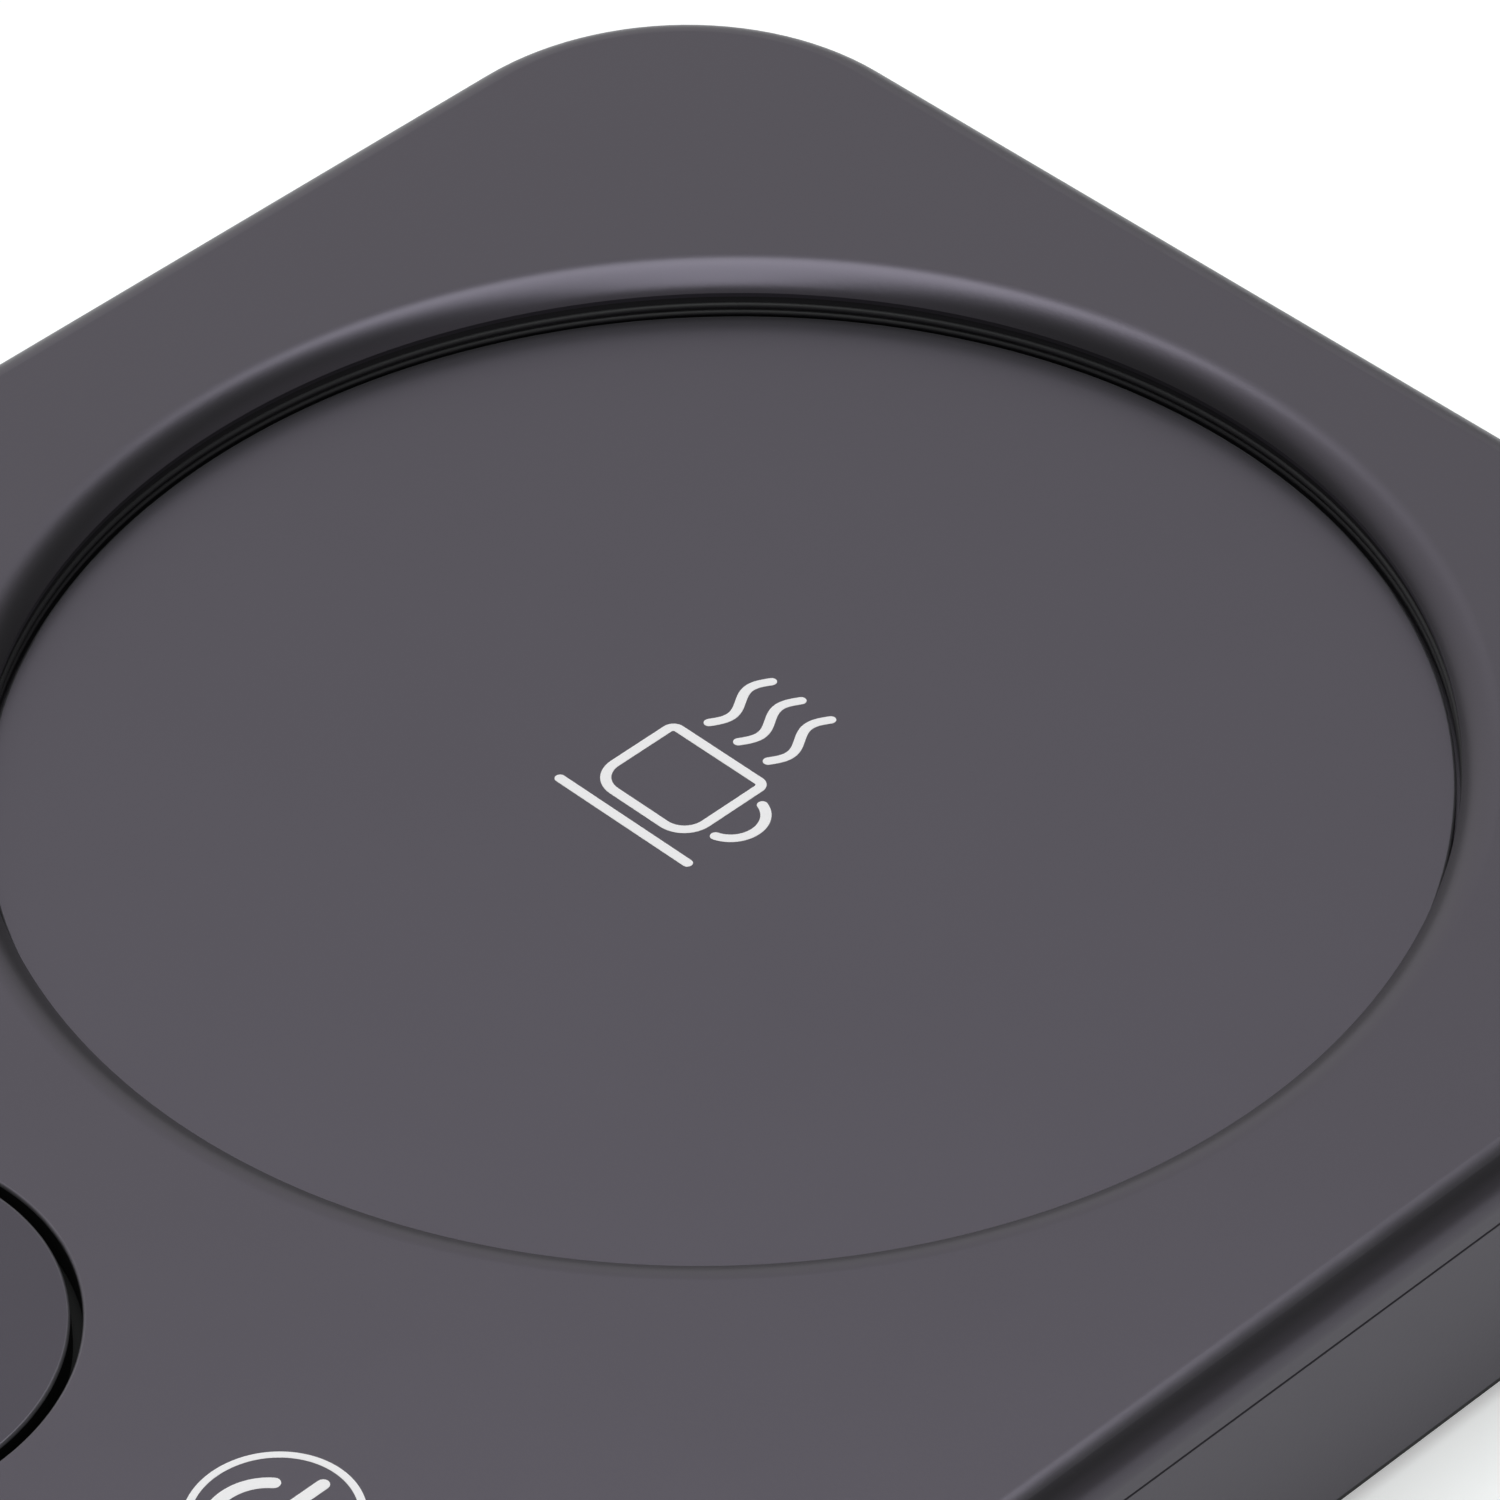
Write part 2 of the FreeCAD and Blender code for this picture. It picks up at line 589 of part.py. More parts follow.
def make_base_tray():
    body = new_body("base_tray")
    outline = new_sketch(body, "tray_outline", level="tray_bottom")
    draw_rounded_rectangle(outline, "half_width", "half_length", "body_corner")
    pad = add_pad(body, outline, "seam - tray_bottom")
    lower = add_dressing(body, "Chamfer", pad, edges_at(pad.Shape, size("tray_bottom")), "foot_bevel")
    add_dressing(body, "Chamfer", lower, edges_at(lower.Shape, size("seam")), "seam_bevel")

    cavity = new_sketch(body, "tray_cavity", level="seam")
    draw_rounded_rectangle(cavity, "half_width - tray_wall", "half_length - tray_wall",
                           "body_corner - tray_wall")
    add_pocket(body, cavity, "seam - floor_top")

    bosses = new_sketch(body, "corner_bosses", level="floor_top - tray_floor / 2")
    draw_circles(bosses, CORNER_SPOTS, "corner_boss")
    add_pad(body, bosses, "post_split - floor_top + tray_floor / 2")
    standoffs = new_sketch(body, "board_standoffs", level="floor_top - tray_floor / 2")
    draw_circles(standoffs, BOARD_SPOTS + INLET_SPOTS, "standoff_radius")
    add_pad(body, standoffs, "board_lift + tray_floor / 2")

    seats = new_sketch(body, "foot_seats", level="tray_bottom")
    draw_circles(seats, CORNER_SPOTS, "foot_radius + foot_fit")
    add_pocket(body, seats, "foot_seat", upwards=True)
    wells = new_sketch(body, "screw_wells", level="tray_bottom")
    draw_circles(wells, CORNER_SPOTS, "screw_radius * head_ratio + well_fit")
    add_pocket(body, wells, "foot_seat + well_web + head_tall", upwards=True)
    passes = new_sketch(body, "screw_passes", level="tray_bottom")
    draw_circles(passes, CORNER_SPOTS, "screw_radius + screw_pass")
    add_pocket(body, passes, "post_split - tray_bottom", upwards=True)
    pilots = new_sketch(body, "standoff_pilots", level="board_under")
    draw_circles(pilots, BOARD_SPOTS + INLET_SPOTS, "small_screw_radius + screw_fit")
    add_pocket(body, pilots, "board_lift + tray_floor / 2")

    slot = new_sketch(body, "inlet_slot", "XZ_Plane", "-half_length")
    draw_slot(slot, "inlet_side", "inlet_axis", "inlet_wide / 2 + inlet_fit", "inlet_tall / 2 + inlet_fit")
    add_pocket(body, slot, "tray_wall", upwards=True)
    return keep(body, "base_tray")


# Heating plate and what is stacked under it

def make_heating_stack():
    plate = turned("heating_plate", [
        ("0", "plate_top"),
        ("plate_radius - plate_bevel", "plate_top"),
        ("plate_radius", "plate_top - plate_bevel"),
        ("plate_radius", "flange_top"),
        ("plate_radius + flange_reach", "flange_top"),
        ("plate_radius + flange_reach", "plate_under"),
        ("0", "plate_under"),
    ], y="plate_y")
    keep(plate, "heating_plate")

    gasket_top = "top_height - recess_round + sqrt(recess_round ^ 2 - recess_reach ^ 2) - recess_lip"
    gasket = turned("plate_gasket", [
        ("gasket_radius", "flange_top"),
        ("gasket_radius + gasket_wall", "flange_top"),
        ("gasket_radius + gasket_wall", gasket_top),
        ("gasket_radius", gasket_top),
    ], y="plate_y")
    keep(gasket, "plate_gasket")

    keep(cylinder("heater_mat", "heater_radius", "heater_thick", y="plate_y", z="heater_under"),
         "heater_mat")
    pad = cylinder("pad_disc", "pad_radius", "pad_thick", y="plate_y", z="pad_under")
    window = cylinder("pad_hole", "pad_window", "pad_thick", y="plate_y", z="pad_under")
    keep(cut("insulation_pad", pad, [window]), "insulation_pad")

    disc = cylinder("clamp_disc", "clamp_radius", "clamp_thick", y="plate_y", z="clamp_under")
    arms = []
    for number, (x, y) in enumerate(CLAMP_SPOTS):
        arms.append(cylinder("clamp_ear%d" % number, "boss_radius", "clamp_thick", x, y, "clamp_under"))
        arm = block("clamp_arm%d" % number, "clamp_circle", "2 * boss_radius", "clamp_thick",
                    "0", "0", "clamp_under")
        turn = ("clamp_angle", "180 - clamp_angle", "180 + clamp_angle", "-clamp_angle")[number]
        bind(arm, "Placement.Base.x", "boss_radius * sin(%s)" % turn)
        bind(arm, "Placement.Base.y", "plate_y - boss_radius * cos(%s)" % turn)
        bind(arm, "Placement.Rotation.Angle", turn)
        arm.Placement.Rotation.Axis = FreeCAD.Vector(0, 0, 1)
        arms.append(arm)
    holes = [cylinder("clamp_hole%d" % number, "small_screw_radius + screw_pass", "clamp_thick",
                      x, y, "clamp_under") for number, (x, y) in enumerate(CLAMP_SPOTS)]
    holes.append(cylinder("clamp_window", "pad_window", "clamp_thick", y="plate_y", z="clamp_under"))
    keep(cut("clamp_plate", fuse("clamp_blank", [disc] + arms), holes), "clamp_plate")
    group("clamp_screws", [screw("clamp_screw%d" % number, "small_screw_radius",
                                 "clamp_thick + (shell_under - pad_under) - head_tall", x, y,
                                 "clamp_under") for number, (x, y) in enumerate(CLAMP_SPOTS)])

    keep(bar("thermistor", "bead_radius", "bead_long", "-bead_long / 2", "plate_y",
             "heater_under - bead_radius", "X"), "thermistor")
    keep(bar("thermal_fuse", "fuse_radius", "fuse_long", "-fuse_long / 2", "plate_y + fuse_offset",
             "heater_under - fuse_radius", "X"), "thermal_fuse")


# Push button, its guide, spring and switch

def make_button():
    button = turned("button_cap", [
        ("0", "top_height"),
        ("button_radius - button_bevel", "top_height"),
        ("button_radius", "top_height - button_bevel"),
        ("button_radius", "collar_top"),
        ("collar_radius", "collar_top"),
        ("collar_radius", "collar_top - collar_tall"),
        ("button_radius - button_skirt", "collar_top - collar_tall"),
        ("button_radius - button_skirt", "button_roof"),
        ("stem_radius", "button_roof"),
        ("stem_radius", "stem_end"),
        ("plunger_radius + socket_fit", "stem_end"),
        ("plunger_radius + socket_fit", "stem_end + plunger_grip"),
        ("0", "stem_end + plunger_grip"),
    ], y="-button_centre")
    keep(button, "button_cap")

    barrel = cylinder("guide_barrel", "guide_radius + guide_wall", "guide_tall",
                      y="-button_centre", z="guide_under")
    ears = []
    for number, (x, y) in enumerate(EAR_SPOTS):
        ears.append(cylinder("guide_ear%d" % number, "ear_radius", "guide_floor", x, y, "guide_under"))
        ears.append(block("guide_arm%d" % number, "guide_ear - guide_radius", "2 * ear_radius",
                          "guide_floor", "%s * (guide_ear + guide_radius) / (2 * guide_ear)" % x, y,
                          "guide_under"))
    hollow = [
        cylinder("guide_well", "guide_radius", "guide_tall", y="-button_centre", z="guide_seat"),
        cylinder("guide_bore", "stem_radius + stem_fit", "guide_tall", y="-button_centre",
                 z="guide_under"),
    ]
    hollow += [cylinder("guide_hole%d" % number, "small_screw_radius + screw_pass", "guide_floor",
                        x, y, "guide_under") for number, (x, y) in enumerate(EAR_SPOTS)]
    keep(cut("button_guide", fuse("guide_blank", [barrel] + ears), hollow), "button_guide")
    group("guide_screws", [screw("guide_screw%d" % number, "small_screw_radius",
                                 "guide_floor + (shell_under - guide_seat) - head_tall / 2", x, y,
                                 "guide_under") for number, (x, y) in enumerate(EAR_SPOTS)])

    case = block("switch_case", "switch_side", "switch_side", "switch_tall",
                 "0", "-button_centre", "board_top")
    bore = cylinder("switch_bore", "plunger_radius + plunger_fit", "switch_tall",
                    y="-button_centre", z="board_top + switch_floor")
    keep(cut("switch_body", case, [bore]), "switch_body")
    low = "board_top + switch_floor + button_travel + stop_gap"
    keep(cylinder("switch_plunger", "plunger_radius", "stem_end + plunger_grip - (%s)" % low,
                  y="-button_centre", z=low), "switch_plunger")


def biarc(start, start_way, end, end_way):
    """Two arcs that join two points of a curve and keep its directions there."""
    chord = end - start
    both = start_way + end_way
    share = start_way.dot(end_way)
    a = 2 * share - 2
    b = -2 * chord.dot(both)
    c = chord.dot(chord)
    reach = (-b - math.sqrt(b * b - 4 * a * c)) / (2 * a)
    if reach < 0:
        reach = (-b + math.sqrt(b * b - 4 * a * c)) / (2 * a)
    near = start + start_way * reach
    far = end - end_way * reach
    join = (near + far) * 0.5
    return [arc_between(start, near, join), arc_between(join, far, end)]


def arc_between(start, corner, end):
    """The arc that touches the two equal legs from corner to start and to end."""
    leg = (start - corner).Length
    middle = (start + end) * 0.5
    height = (middle - corner).Length
    half = (end - start).Length / 2
    radius = half * leg / height
    away = (middle - corner).normalize()
    centre = corner + away * math.sqrt(leg ** 2 + radius ** 2)
    return Part.Arc(start, centre - away * radius, end).toShape()


def tube_along(edges, start, way, radius):
    ring = Part.Wire([Part.makeCircle(radius, start, way)])
    return Part.Wire(edges).makePipeShell([ring], True, False)


def make_spring():
    """An open coil between the guide's floor and the underside of the button."""
    wire = size("spring_wire")
    radius = size("spring_radius")
    turns = size("spring_turns")
    low = size("guide_seat + spring_seat + spring_wire")
    high = size("button_roof - spring_seat - spring_wire")
    pitch = (high - low) / turns
    slope = pitch / (2 * math.pi)
    steps = int(round(turns * 4))

    def spot(angle):
        return FreeCAD.Vector(radius * math.cos(angle), radius * math.sin(angle), low + slope * angle)

    def heading(angle):
        return FreeCAD.Vector(-radius * math.sin(angle), radius * math.cos(angle), slope).normalize()

    edges = []
    for step in range(steps):
        one = step * math.pi / 2
        two = one + math.pi / 2
        edges += biarc(spot(one), heading(one), spot(two), heading(two))
    spring = doc.addObject("Part::Feature", "button_spring")
    spring.Shape = tube_along(edges, spot(0), heading(0), wire)
    spring.Placement.Base = FreeCAD.Vector(0, -size("button_centre"), 0)
    print("spring: gap between its turns %.2f mm" % (pitch - 2 * wire))
    keep(spring, "button_spring")


# Control board and what it carries

def make_board():
    board = block("board_blank", "board_width", "board_deep", "board_thick",
                  "0", "board_deep / 2 - board_front", "board_under")
    holes = [cylinder("board_hole%d" % number, "small_screw_radius + screw_pass", "board_thick",
                      x, y, "board_under") for number, (x, y) in enumerate(BOARD_SPOTS)]
    keep(cut("control_board", board, holes), "control_board")

    group("board_screws", [top_screw("board_screw%d" % number, x, y, "board_top")
                           for number, (x, y) in enumerate(BOARD_SPOTS)])

    chip = [block("chip_case", "chip_wide", "chip_long", "chip_tall", "-chip_side", "-chip_front",
                  "board_top")]
    for number in range(8):
        chip.append(block("chip_leg%d" % number, "chip_wide + 2 * leg_reach", "leg_wide", "leg_wide",
                          "-chip_side", "-chip_front + %s * leg_pitch" % (number - 3.5), "board_top"))
    keep(fuse("controller_chip", chip), "controller_chip")

    case = block("power_case", "power_wide", "power_deep", "power_tall", "power_side",
                 "-power_front", "board_top")
    tab = block("power_tab", "power_wide", "tab_deep", "tab_thick", "power_side",
                "-power_front + power_deep / 2 + tab_deep / 2", "board_top")
    keep(fuse("power_transistor", [case, tab]), "power_transistor")
    keep(cylinder("filter_capacitor", "can_radius", "can_tall", "-can_side", "-can_front",
                  "board_top"), "filter_capacitor")
    keep(block("touch_electrode", "touch_pad", "touch_pad", "shell_under - board_top", "touch_side",
               "-touch_front", "board_top"), "touch_electrode")
    for name, x in (("heater_connector", "-plug_side"), ("sensor_connector", "plug_side"),
                    ("power_connector", "inlet_side")):
        keep(block(name, "plug_wide", "plug_deep", "plug_tall", x, "plug_y - plug_deep / 2",
                   "board_top"), name)


# Power inlet in the back wall

def padded_slot(name, sections, level, length):
    """A body made of one or two slots in the plane of the back wall, drawn out to the front."""
    body = new_body(name)
    sketch = new_sketch(body, name + "_outline", "XZ_Plane", "-(%s)" % level)
    for half_wide, half_tall in sections:
        draw_slot(sketch, "inlet_side", "inlet_axis", half_wide, half_tall)
    add_pad(body, sketch, length)
    return body


def make_inlet():
    mouth = "half_length - inlet_set_back"
    inside = ("inlet_wide / 2 - inlet_sheet", "inlet_tall / 2 - inlet_sheet")
    shell = padded_slot("inlet_shell", [("inlet_wide / 2", "inlet_tall / 2"), inside], mouth,
                        "inlet_long")
    keep(shell, "inlet_shell")
    insert = padded_slot("inlet_insert", [("%s - insert_fit" % half for half in inside)],
                         "%s - inlet_long + insert_deep" % mouth, "insert_deep")
    tongue = new_sketch(insert, "insert_tongue", "XZ_Plane", "-(%s - tongue_back)" % mouth)
    left, right = "inlet_side - tongue_wide / 2", "inlet_side + tongue_wide / 2"
    low, high = "inlet_axis - tongue_tall / 2", "inlet_axis + tongue_tall / 2"
    draw_outline(tongue, [(left, low), (right, low), (right, high), (left, high)])
    add_pad(insert, tongue, "inlet_long - tongue_back - insert_deep / 2")
    keep(insert, "inlet_insert")

    board = block("inlet_board_blank", "inlet_board_wide", "inlet_board_deep", "inlet_board_thick",
                  "inlet_side", "inlet_board_back - inlet_board_deep / 2", "board_under")
    holes = [cylinder("inlet_board_hole%d" % number, "small_screw_radius + screw_pass",
                      "inlet_board_thick", x, y, "board_under")
             for number, (x, y) in enumerate(INLET_SPOTS)]
    keep(cut("inlet_board", board, holes), "inlet_board")
    group("inlet_screws", [top_screw("inlet_screw%d" % number, x, y, "inlet_board_top")
                           for number, (x, y) in enumerate(INLET_SPOTS)])


# Wires

def wire_tube(points, radius, bend):
    """A round wire along straight runs joined by arcs."""
    edges = []
    here = points[0]
    for corner, after in zip(points[1:-1], points[2:]):
        back = (here - corner).normalize()
        ahead = (after - corner).normalize()
        half = math.acos(max(-1.0, min(1.0, back.dot(ahead)))) / 2
        leg = bend / math.tan(half)
        start = corner + back * leg
        end = corner + ahead * leg
        edges.append(Part.LineSegment(here, start).toShape())
        edges.append(arc_between(start, corner, end))
        here = end
    edges.append(Part.LineSegment(here, points[-1]).toShape())
    tube = tube_along(edges, points[0], (points[1] - points[0]).normalize(), radius)
    length = sum(edge.Length for edge in edges)
    if abs(tube.Volume - math.pi * radius ** 2 * length) > 0.01 * tube.Volume:
        raise RuntimeError("a wire has the wrong volume")
    return tube


def make_wires(name, radius, route):
    """Two wires side by side along a route of size expressions."""
    tubes = []
    for side in (1, -1):
        points = [FreeCAD.Vector(size(x) + side * size("wire_gap"), size(y), size(z))
                  for x, y, z in route]
        tubes.append(wire_tube(points, size(radius), size("wire_bend")))
    wires = doc.addObject("Part::Feature", name)
    wires.Shape = Part.makeCompound(tubes)
    wires.Placement = FreeCAD.Placement()
    keep(wires, name)


def make_wiring():
    make_wires("heater_leads", "heater_wire", [
        ("-plug_side / 2", "plate_y", "heater_under"),
        ("-plug_side / 2", "plate_y", "wire_level"),
        ("-plug_side / 2", "plate_y / 3", "wire_level"),
        ("-plug_side", "plate_y / 3 - plug_side", "wire_level"),
        ("-plug_side", "plug_y", "wire_level"),
    ])
    make_wires("sensor_leads", "sensor_wire", [
        ("0", "plate_y - bead_radius - sensor_wire - wire_gap", "heater_under"),
        ("0", "plate_y - bead_radius - sensor_wire - wire_gap", "wire_level"),
        ("0", "plate_y / 3", "wire_level"),
        ("plug_side", "plate_y / 3 - plug_side", "wire_level"),
        ("plug_side", "plug_y", "wire_level"),
    ])
    make_wires("power_leads", "heater_wire", [
        ("inlet_side", "inlet_board_front + inlet_screw_back", "inlet_board_top"),
        ("inlet_side", "inlet_board_front + inlet_screw_back", "wire_level"),
        ("inlet_side", "plate_y + plug_side", "wire_level"),
        ("inlet_side - wire_bend", "plate_y", "wire_level"),
        ("inlet_side", "plate_y - plug_side", "wire_level"),
        ("inlet_side", "plug_y", "wire_level"),
    ])


# Screws and feet under the tray

def make_underside():
    seat = "tray_bottom + foot_seat + well_web + head_tall"
    group("casing_screws", [screw("casing_screw%d" % number, "screw_radius",
                                  "post_split - (%s) + screw_bite" % seat, x, y, seat)
                            for number, (x, y) in enumerate(CORNER_SPOTS)])
    group("rubber_feet", [cylinder("foot%d" % number, "foot_radius", "foot_lift + foot_seat", x, y)
                          for number, (x, y) in enumerate(CORNER_SPOTS)])


make_top_shell()
make_base_tray()
make_heating_stack()
make_button()
make_spring()
make_board()
make_inlet()
make_wiring()
make_underside()
doc.recompute()

for thing in doc.Objects:
    if "Invalid" in thing.State or "Error" in thing.State:
        raise RuntimeError("%s is not valid" % thing.Name)
for node in nodes:
    if node.Shape.isNull() or not node.Shape.isValid() or not node.Shape.Solids:
        raise RuntimeError("%s has no valid solid" % node.Label)

os.makedirs("parts", exist_ok=True)
for node in nodes:
    node.Shape.exportStep("parts/%s.step" % node.Label)
    print("%-18s %2d solids %10.1f mm3" % (node.Label, len(node.Shape.Solids), node.Shape.Volume))
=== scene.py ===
"""Looks of the electric mug warmer: smooth skins, finishes, prints and a plain studio."""

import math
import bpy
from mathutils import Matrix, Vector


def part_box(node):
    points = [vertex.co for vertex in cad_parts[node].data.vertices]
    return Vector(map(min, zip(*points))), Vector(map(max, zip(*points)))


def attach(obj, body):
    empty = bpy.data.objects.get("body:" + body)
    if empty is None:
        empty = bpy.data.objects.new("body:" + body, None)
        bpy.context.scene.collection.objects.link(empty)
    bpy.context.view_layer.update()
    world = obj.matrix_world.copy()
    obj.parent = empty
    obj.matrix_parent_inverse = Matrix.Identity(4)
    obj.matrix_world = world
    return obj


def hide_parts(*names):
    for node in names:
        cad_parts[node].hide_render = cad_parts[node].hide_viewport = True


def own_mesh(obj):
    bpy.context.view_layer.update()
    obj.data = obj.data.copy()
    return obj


bl_info = {
    "name": "Mug Warmer Looks",
    "version": (1, 0, 0),
    "blender": (4, 5, 0),
    "location": "View3D > Sidebar > Mug Warmer",
    "description": "Dresses the packed mug warmer with its visible surfaces",
    "category": "Object",
}

import bmesh
import bpy
from bpy.props import FloatProperty, FloatVectorProperty, IntProperty, PointerProperty
from bpy.types import Operator, Panel, PropertyGroup
from mathutils import Matrix, Vector

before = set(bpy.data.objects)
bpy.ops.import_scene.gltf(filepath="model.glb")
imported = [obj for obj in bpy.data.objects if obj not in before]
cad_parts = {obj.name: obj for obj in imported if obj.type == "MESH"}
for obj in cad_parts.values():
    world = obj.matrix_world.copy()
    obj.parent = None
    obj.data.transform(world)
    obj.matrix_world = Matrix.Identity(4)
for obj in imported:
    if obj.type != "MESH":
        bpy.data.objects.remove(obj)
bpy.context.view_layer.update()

MM = 0.001
SHELL_LOW, SHELL_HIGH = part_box("top_shell")
TRAY_LOW, TRAY_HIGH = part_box("base_tray")
PLATE_LOW, PLATE_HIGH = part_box("heating_plate")
SEAL_LOW, SEAL_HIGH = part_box("plate_gasket")
CAP_LOW, CAP_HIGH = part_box("button_cap")
FEET_LOW, FEET_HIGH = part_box("rubber_feet")
SPRING_LOW, SPRING_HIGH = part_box("button_spring")
INLET_LOW, INLET_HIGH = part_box("inlet_shell")

HALF_X, HALF_Y = SHELL_HIGH.x, SHELL_HIGH.y
TOP = SHELL_HIGH.z
SEAM = TRAY_HIGH.z
PLATE_Y = (PLATE_LOW.y + PLATE_HIGH.y) / 2
CAP_Y = (CAP_LOW.y + CAP_HIGH.y) / 2

# Details that follow the solids: radii and clearances, and levels above the table
TONGUE_DEPTH = 2.5 * MM
BORE_GAP, SEAL_GAP, REBATE_GAP = 0.3 * MM, 0.45 * MM, 0.15 * MM
SHELL_POST, POST_OVERLAP = 3.4 * MM, 0.5 * MM
TRAY_FLOOR, TRAY_BEVEL = 2.0 * MM, 0.1 * MM
FOOT_SEAT, SEAT_LEVEL = 5.2 * MM, 2.2 * MM
HEAD_BORE, HEAD_LEVEL = 3.075 * MM, 4.6 * MM
SCREW_BORE, TRAY_POST, POST_LEVEL = 1.7 * MM, 4.6 * MM, 10.5 * MM
INLET_GAP, CUT_OUTSIDE, CUT_INSIDE = 0.25 * MM, 2 * MM, 3 * MM
COLLAR_LEVELS = (14.9 * MM, 16.2 * MM)
BUTTON_ROOF, PLUNGER_BORE, PLUNGER_DEPTH = 2.0 * MM, 1.43 * MM, 2.0 * MM
FOOT_RADIUS, FOOT_EDGE = 5.0 * MM, 0.4 * MM
FOOT_GROOVE = ((1.2 * MM, 0.0), (1.0 * MM, 0.12 * MM), (0.8 * MM, 0.0))

# Faces that count as a rounded edge: how narrow, and how far they may lean
NARROW_FACE, UPRIGHT, FLAT = 0.12 * MM, 0.02, 0.999

# Prints in millimetres from their middles; a corner goes by its centre, radius and first angle
SYMBOL_DROP, SYMBOL_ANGLES, SYMBOL_BAR = 0.72, (128.9, 411.1), (0.1, 3.66)
MUG_PLACE = (-0.5, 1.0)
MUG_CORNERS = ((-4.1, -0.5, 0.5, 90), (-2.8, -5.0, 1.8, 180), (1.6, -5.0, 1.8, 270),
               (2.9, -0.5, 0.5, 0))
MUG_HANDLE = (4.0, -3.4, 2.1)
STEAM_PLACES, STEAM_SWING, STEAM_FOOT, STEAM_RISE = (-3.2, -0.6, 2.0), 0.55, 1.7, 5.4
TABLE_LINE = ((-6.0, -8.3), (5.2, -8.3))

# Camera fitted to the photograph, lamp above the part, brightness toward the white card
CAMERA_PLACE = (0.317119, -0.275388, 0.392825)
CAMERA_RIGHT = (0.6995, 0.7143, -0.0214)
CAMERA_BACK = (0.5500, -0.5190, 0.6543)
SOFTBOX_PLACE = (0.109, -0.103, 1.1)
FLOOR_HALF = 3.0
FLOOR_GLOW_SEEN, FLOOR_GLOW_MIRRORED = 0.42, 0.20
CARD_STOPS = ((0.0, 0.36), (0.30, 0.30), (0.42, 0.20), (0.58, 0.04), (0.74, 0.04), (0.82, 0.16),
              (0.90, 0.55), (0.94, 0.70), (0.98, 0.80), (1.0, 0.82))


# Sizes and colours that a user would change

def number(name, description, default, least=0.0, **kind):
    return FloatProperty(name=name, description=description, default=default, min=least, **kind)


def length(name, description, millimetres):
    return number(name, description, millimetres * MM, subtype="DISTANCE", unit="LENGTH",
                  precision=5)


def colour(name, description, default):
    return FloatVectorProperty(name=name, description=description, default=default,
                               size=3, min=0.0, max=1.0, subtype="COLOR")


class CaseSettings(PropertyGroup):
    corner: length("Corner", "Corner radius of the case in plan", 19.0)
    edge_round: length("Edge Rounding", "Rounding of the top edge", 2.6)
    seam_bevel: length("Seam Bevel", "Bevel on both sides of the parting line", 0.1)
    foot_band: length("Foot Band", "Height of the dark band round the underside", 0.6)
    foot_step: length("Foot Step", "Step in above that band", 0.12)
    wall: length("Wall", "Thickness of the walls", 2.2)
    tongue: length("Tongue", "Thickness of the locating tongue", 1.2)
    tongue_gap: length("Tongue Gap", "Clearance round the tongue", 0.15)
    recess_round: length("Recess Rounding", "Rounding of the recess edge", 3.0)
    recess_reach: length("Recess Reach", "Width of that rounding in plan", 2.54)
    recess_lip: length("Recess Lip", "Straight wall below that rounding", 0.3)
    hole_gap: length("Button Groove", "Groove round the push button", 0.7)
    hole_bevel: length("Groove Bevel", "Bevel on both sides of the groove", 0.2)
    corner_steps: IntProperty(name="Corner Steps", description="Steps round one corner of the case",
                              default=28, min=4)
    round_steps: IntProperty(name="Ring Steps", description="Steps round a large circle",
                             default=224, min=24)


class PlateSettings(PropertyGroup):
    face: length("Face", "Radius of the visible face", 45.0)
    bevel: length("Edge", "Rounding of the plate's edge", 0.2)
    step: length("Step", "Height of the face above its flange", 0.9)
    seal_wall: length("Seal Width", "Seal ring, radial", 2.0)
    seal_edge: length("Seal Edge", "Rounding of the seal ring's edges", 0.2)
    seal_bead: length("Seal Bead", "Radius of the seal ring's two beads", 0.22)


class ButtonSettings(PropertyGroup):
    radius: length("Radius", "Radius of the push button", 15.05)
    edge: length("Edge", "Rounding of the push button's edge", 0.2)
    collar: length("Collar", "Radius of the retaining collar", 17.0)
    skirt: length("Skirt", "Thickness of the skirt", 2.0)
    stem: length("Stem", "Radius of the stem", 3.2)
    spring_turns: number("Spring Turns", "Turns of the return spring", 4.0, 1.0)
    spring_wire: length("Spring Wire", "Radius of the spring wire", 0.25)


class PrintSettings(PropertyGroup):
    stroke: length("Stroke", "Width of the mug pictogram's lines", 0.682)
    symbol_line: length("Symbol Line", "Width of the touch symbol's ring", 0.47)
    symbol_stroke: length("Symbol Stroke", "Width of the touch symbol's arc and bar", 0.82)
    symbol_arc: length("Symbol Arc", "Radius of the touch symbol's arc", 3.27)
    symbol_x: length("Symbol Side", "Touch symbol, right of the middle", 30.17)
    symbol_y: length("Symbol Front", "Touch symbol, before the middle", 42.68)
    symbol_radius: length("Symbol Radius", "Outer radius of the touch symbol", 5.21)
    film: length("Film", "Thickness of the printed film", 0.02)


class FinishSettings(PropertyGroup):
    case: colour("Case", "Moulded case", (0.022, 0.021, 0.022))
    plate: colour("Plate", "Coated heating plate", (0.024, 0.023, 0.025))
    button: colour("Button", "Push button", (0.011, 0.011, 0.012))
    sheen: colour("Sheen", "Tint of the reflections on the dark plastics", (0.89, 0.79, 1.0))
    under: colour("Underside", "Matt underside of the tray", (0.036, 0.035, 0.037))
    # Near-black painted shade for the walls of the push button's groove
    groove_shade_colour: colour("Groove", "Black walls of the push button's groove", (0.006, 0.006, 0.006))
    seal: colour("Seal", "Seal ring", (0.018, 0.017, 0.019))
    feet: colour("Feet", "Rubber feet", (0.030, 0.029, 0.031))
    ink: colour("Ink", "White print", (0.97, 0.935, 0.955))


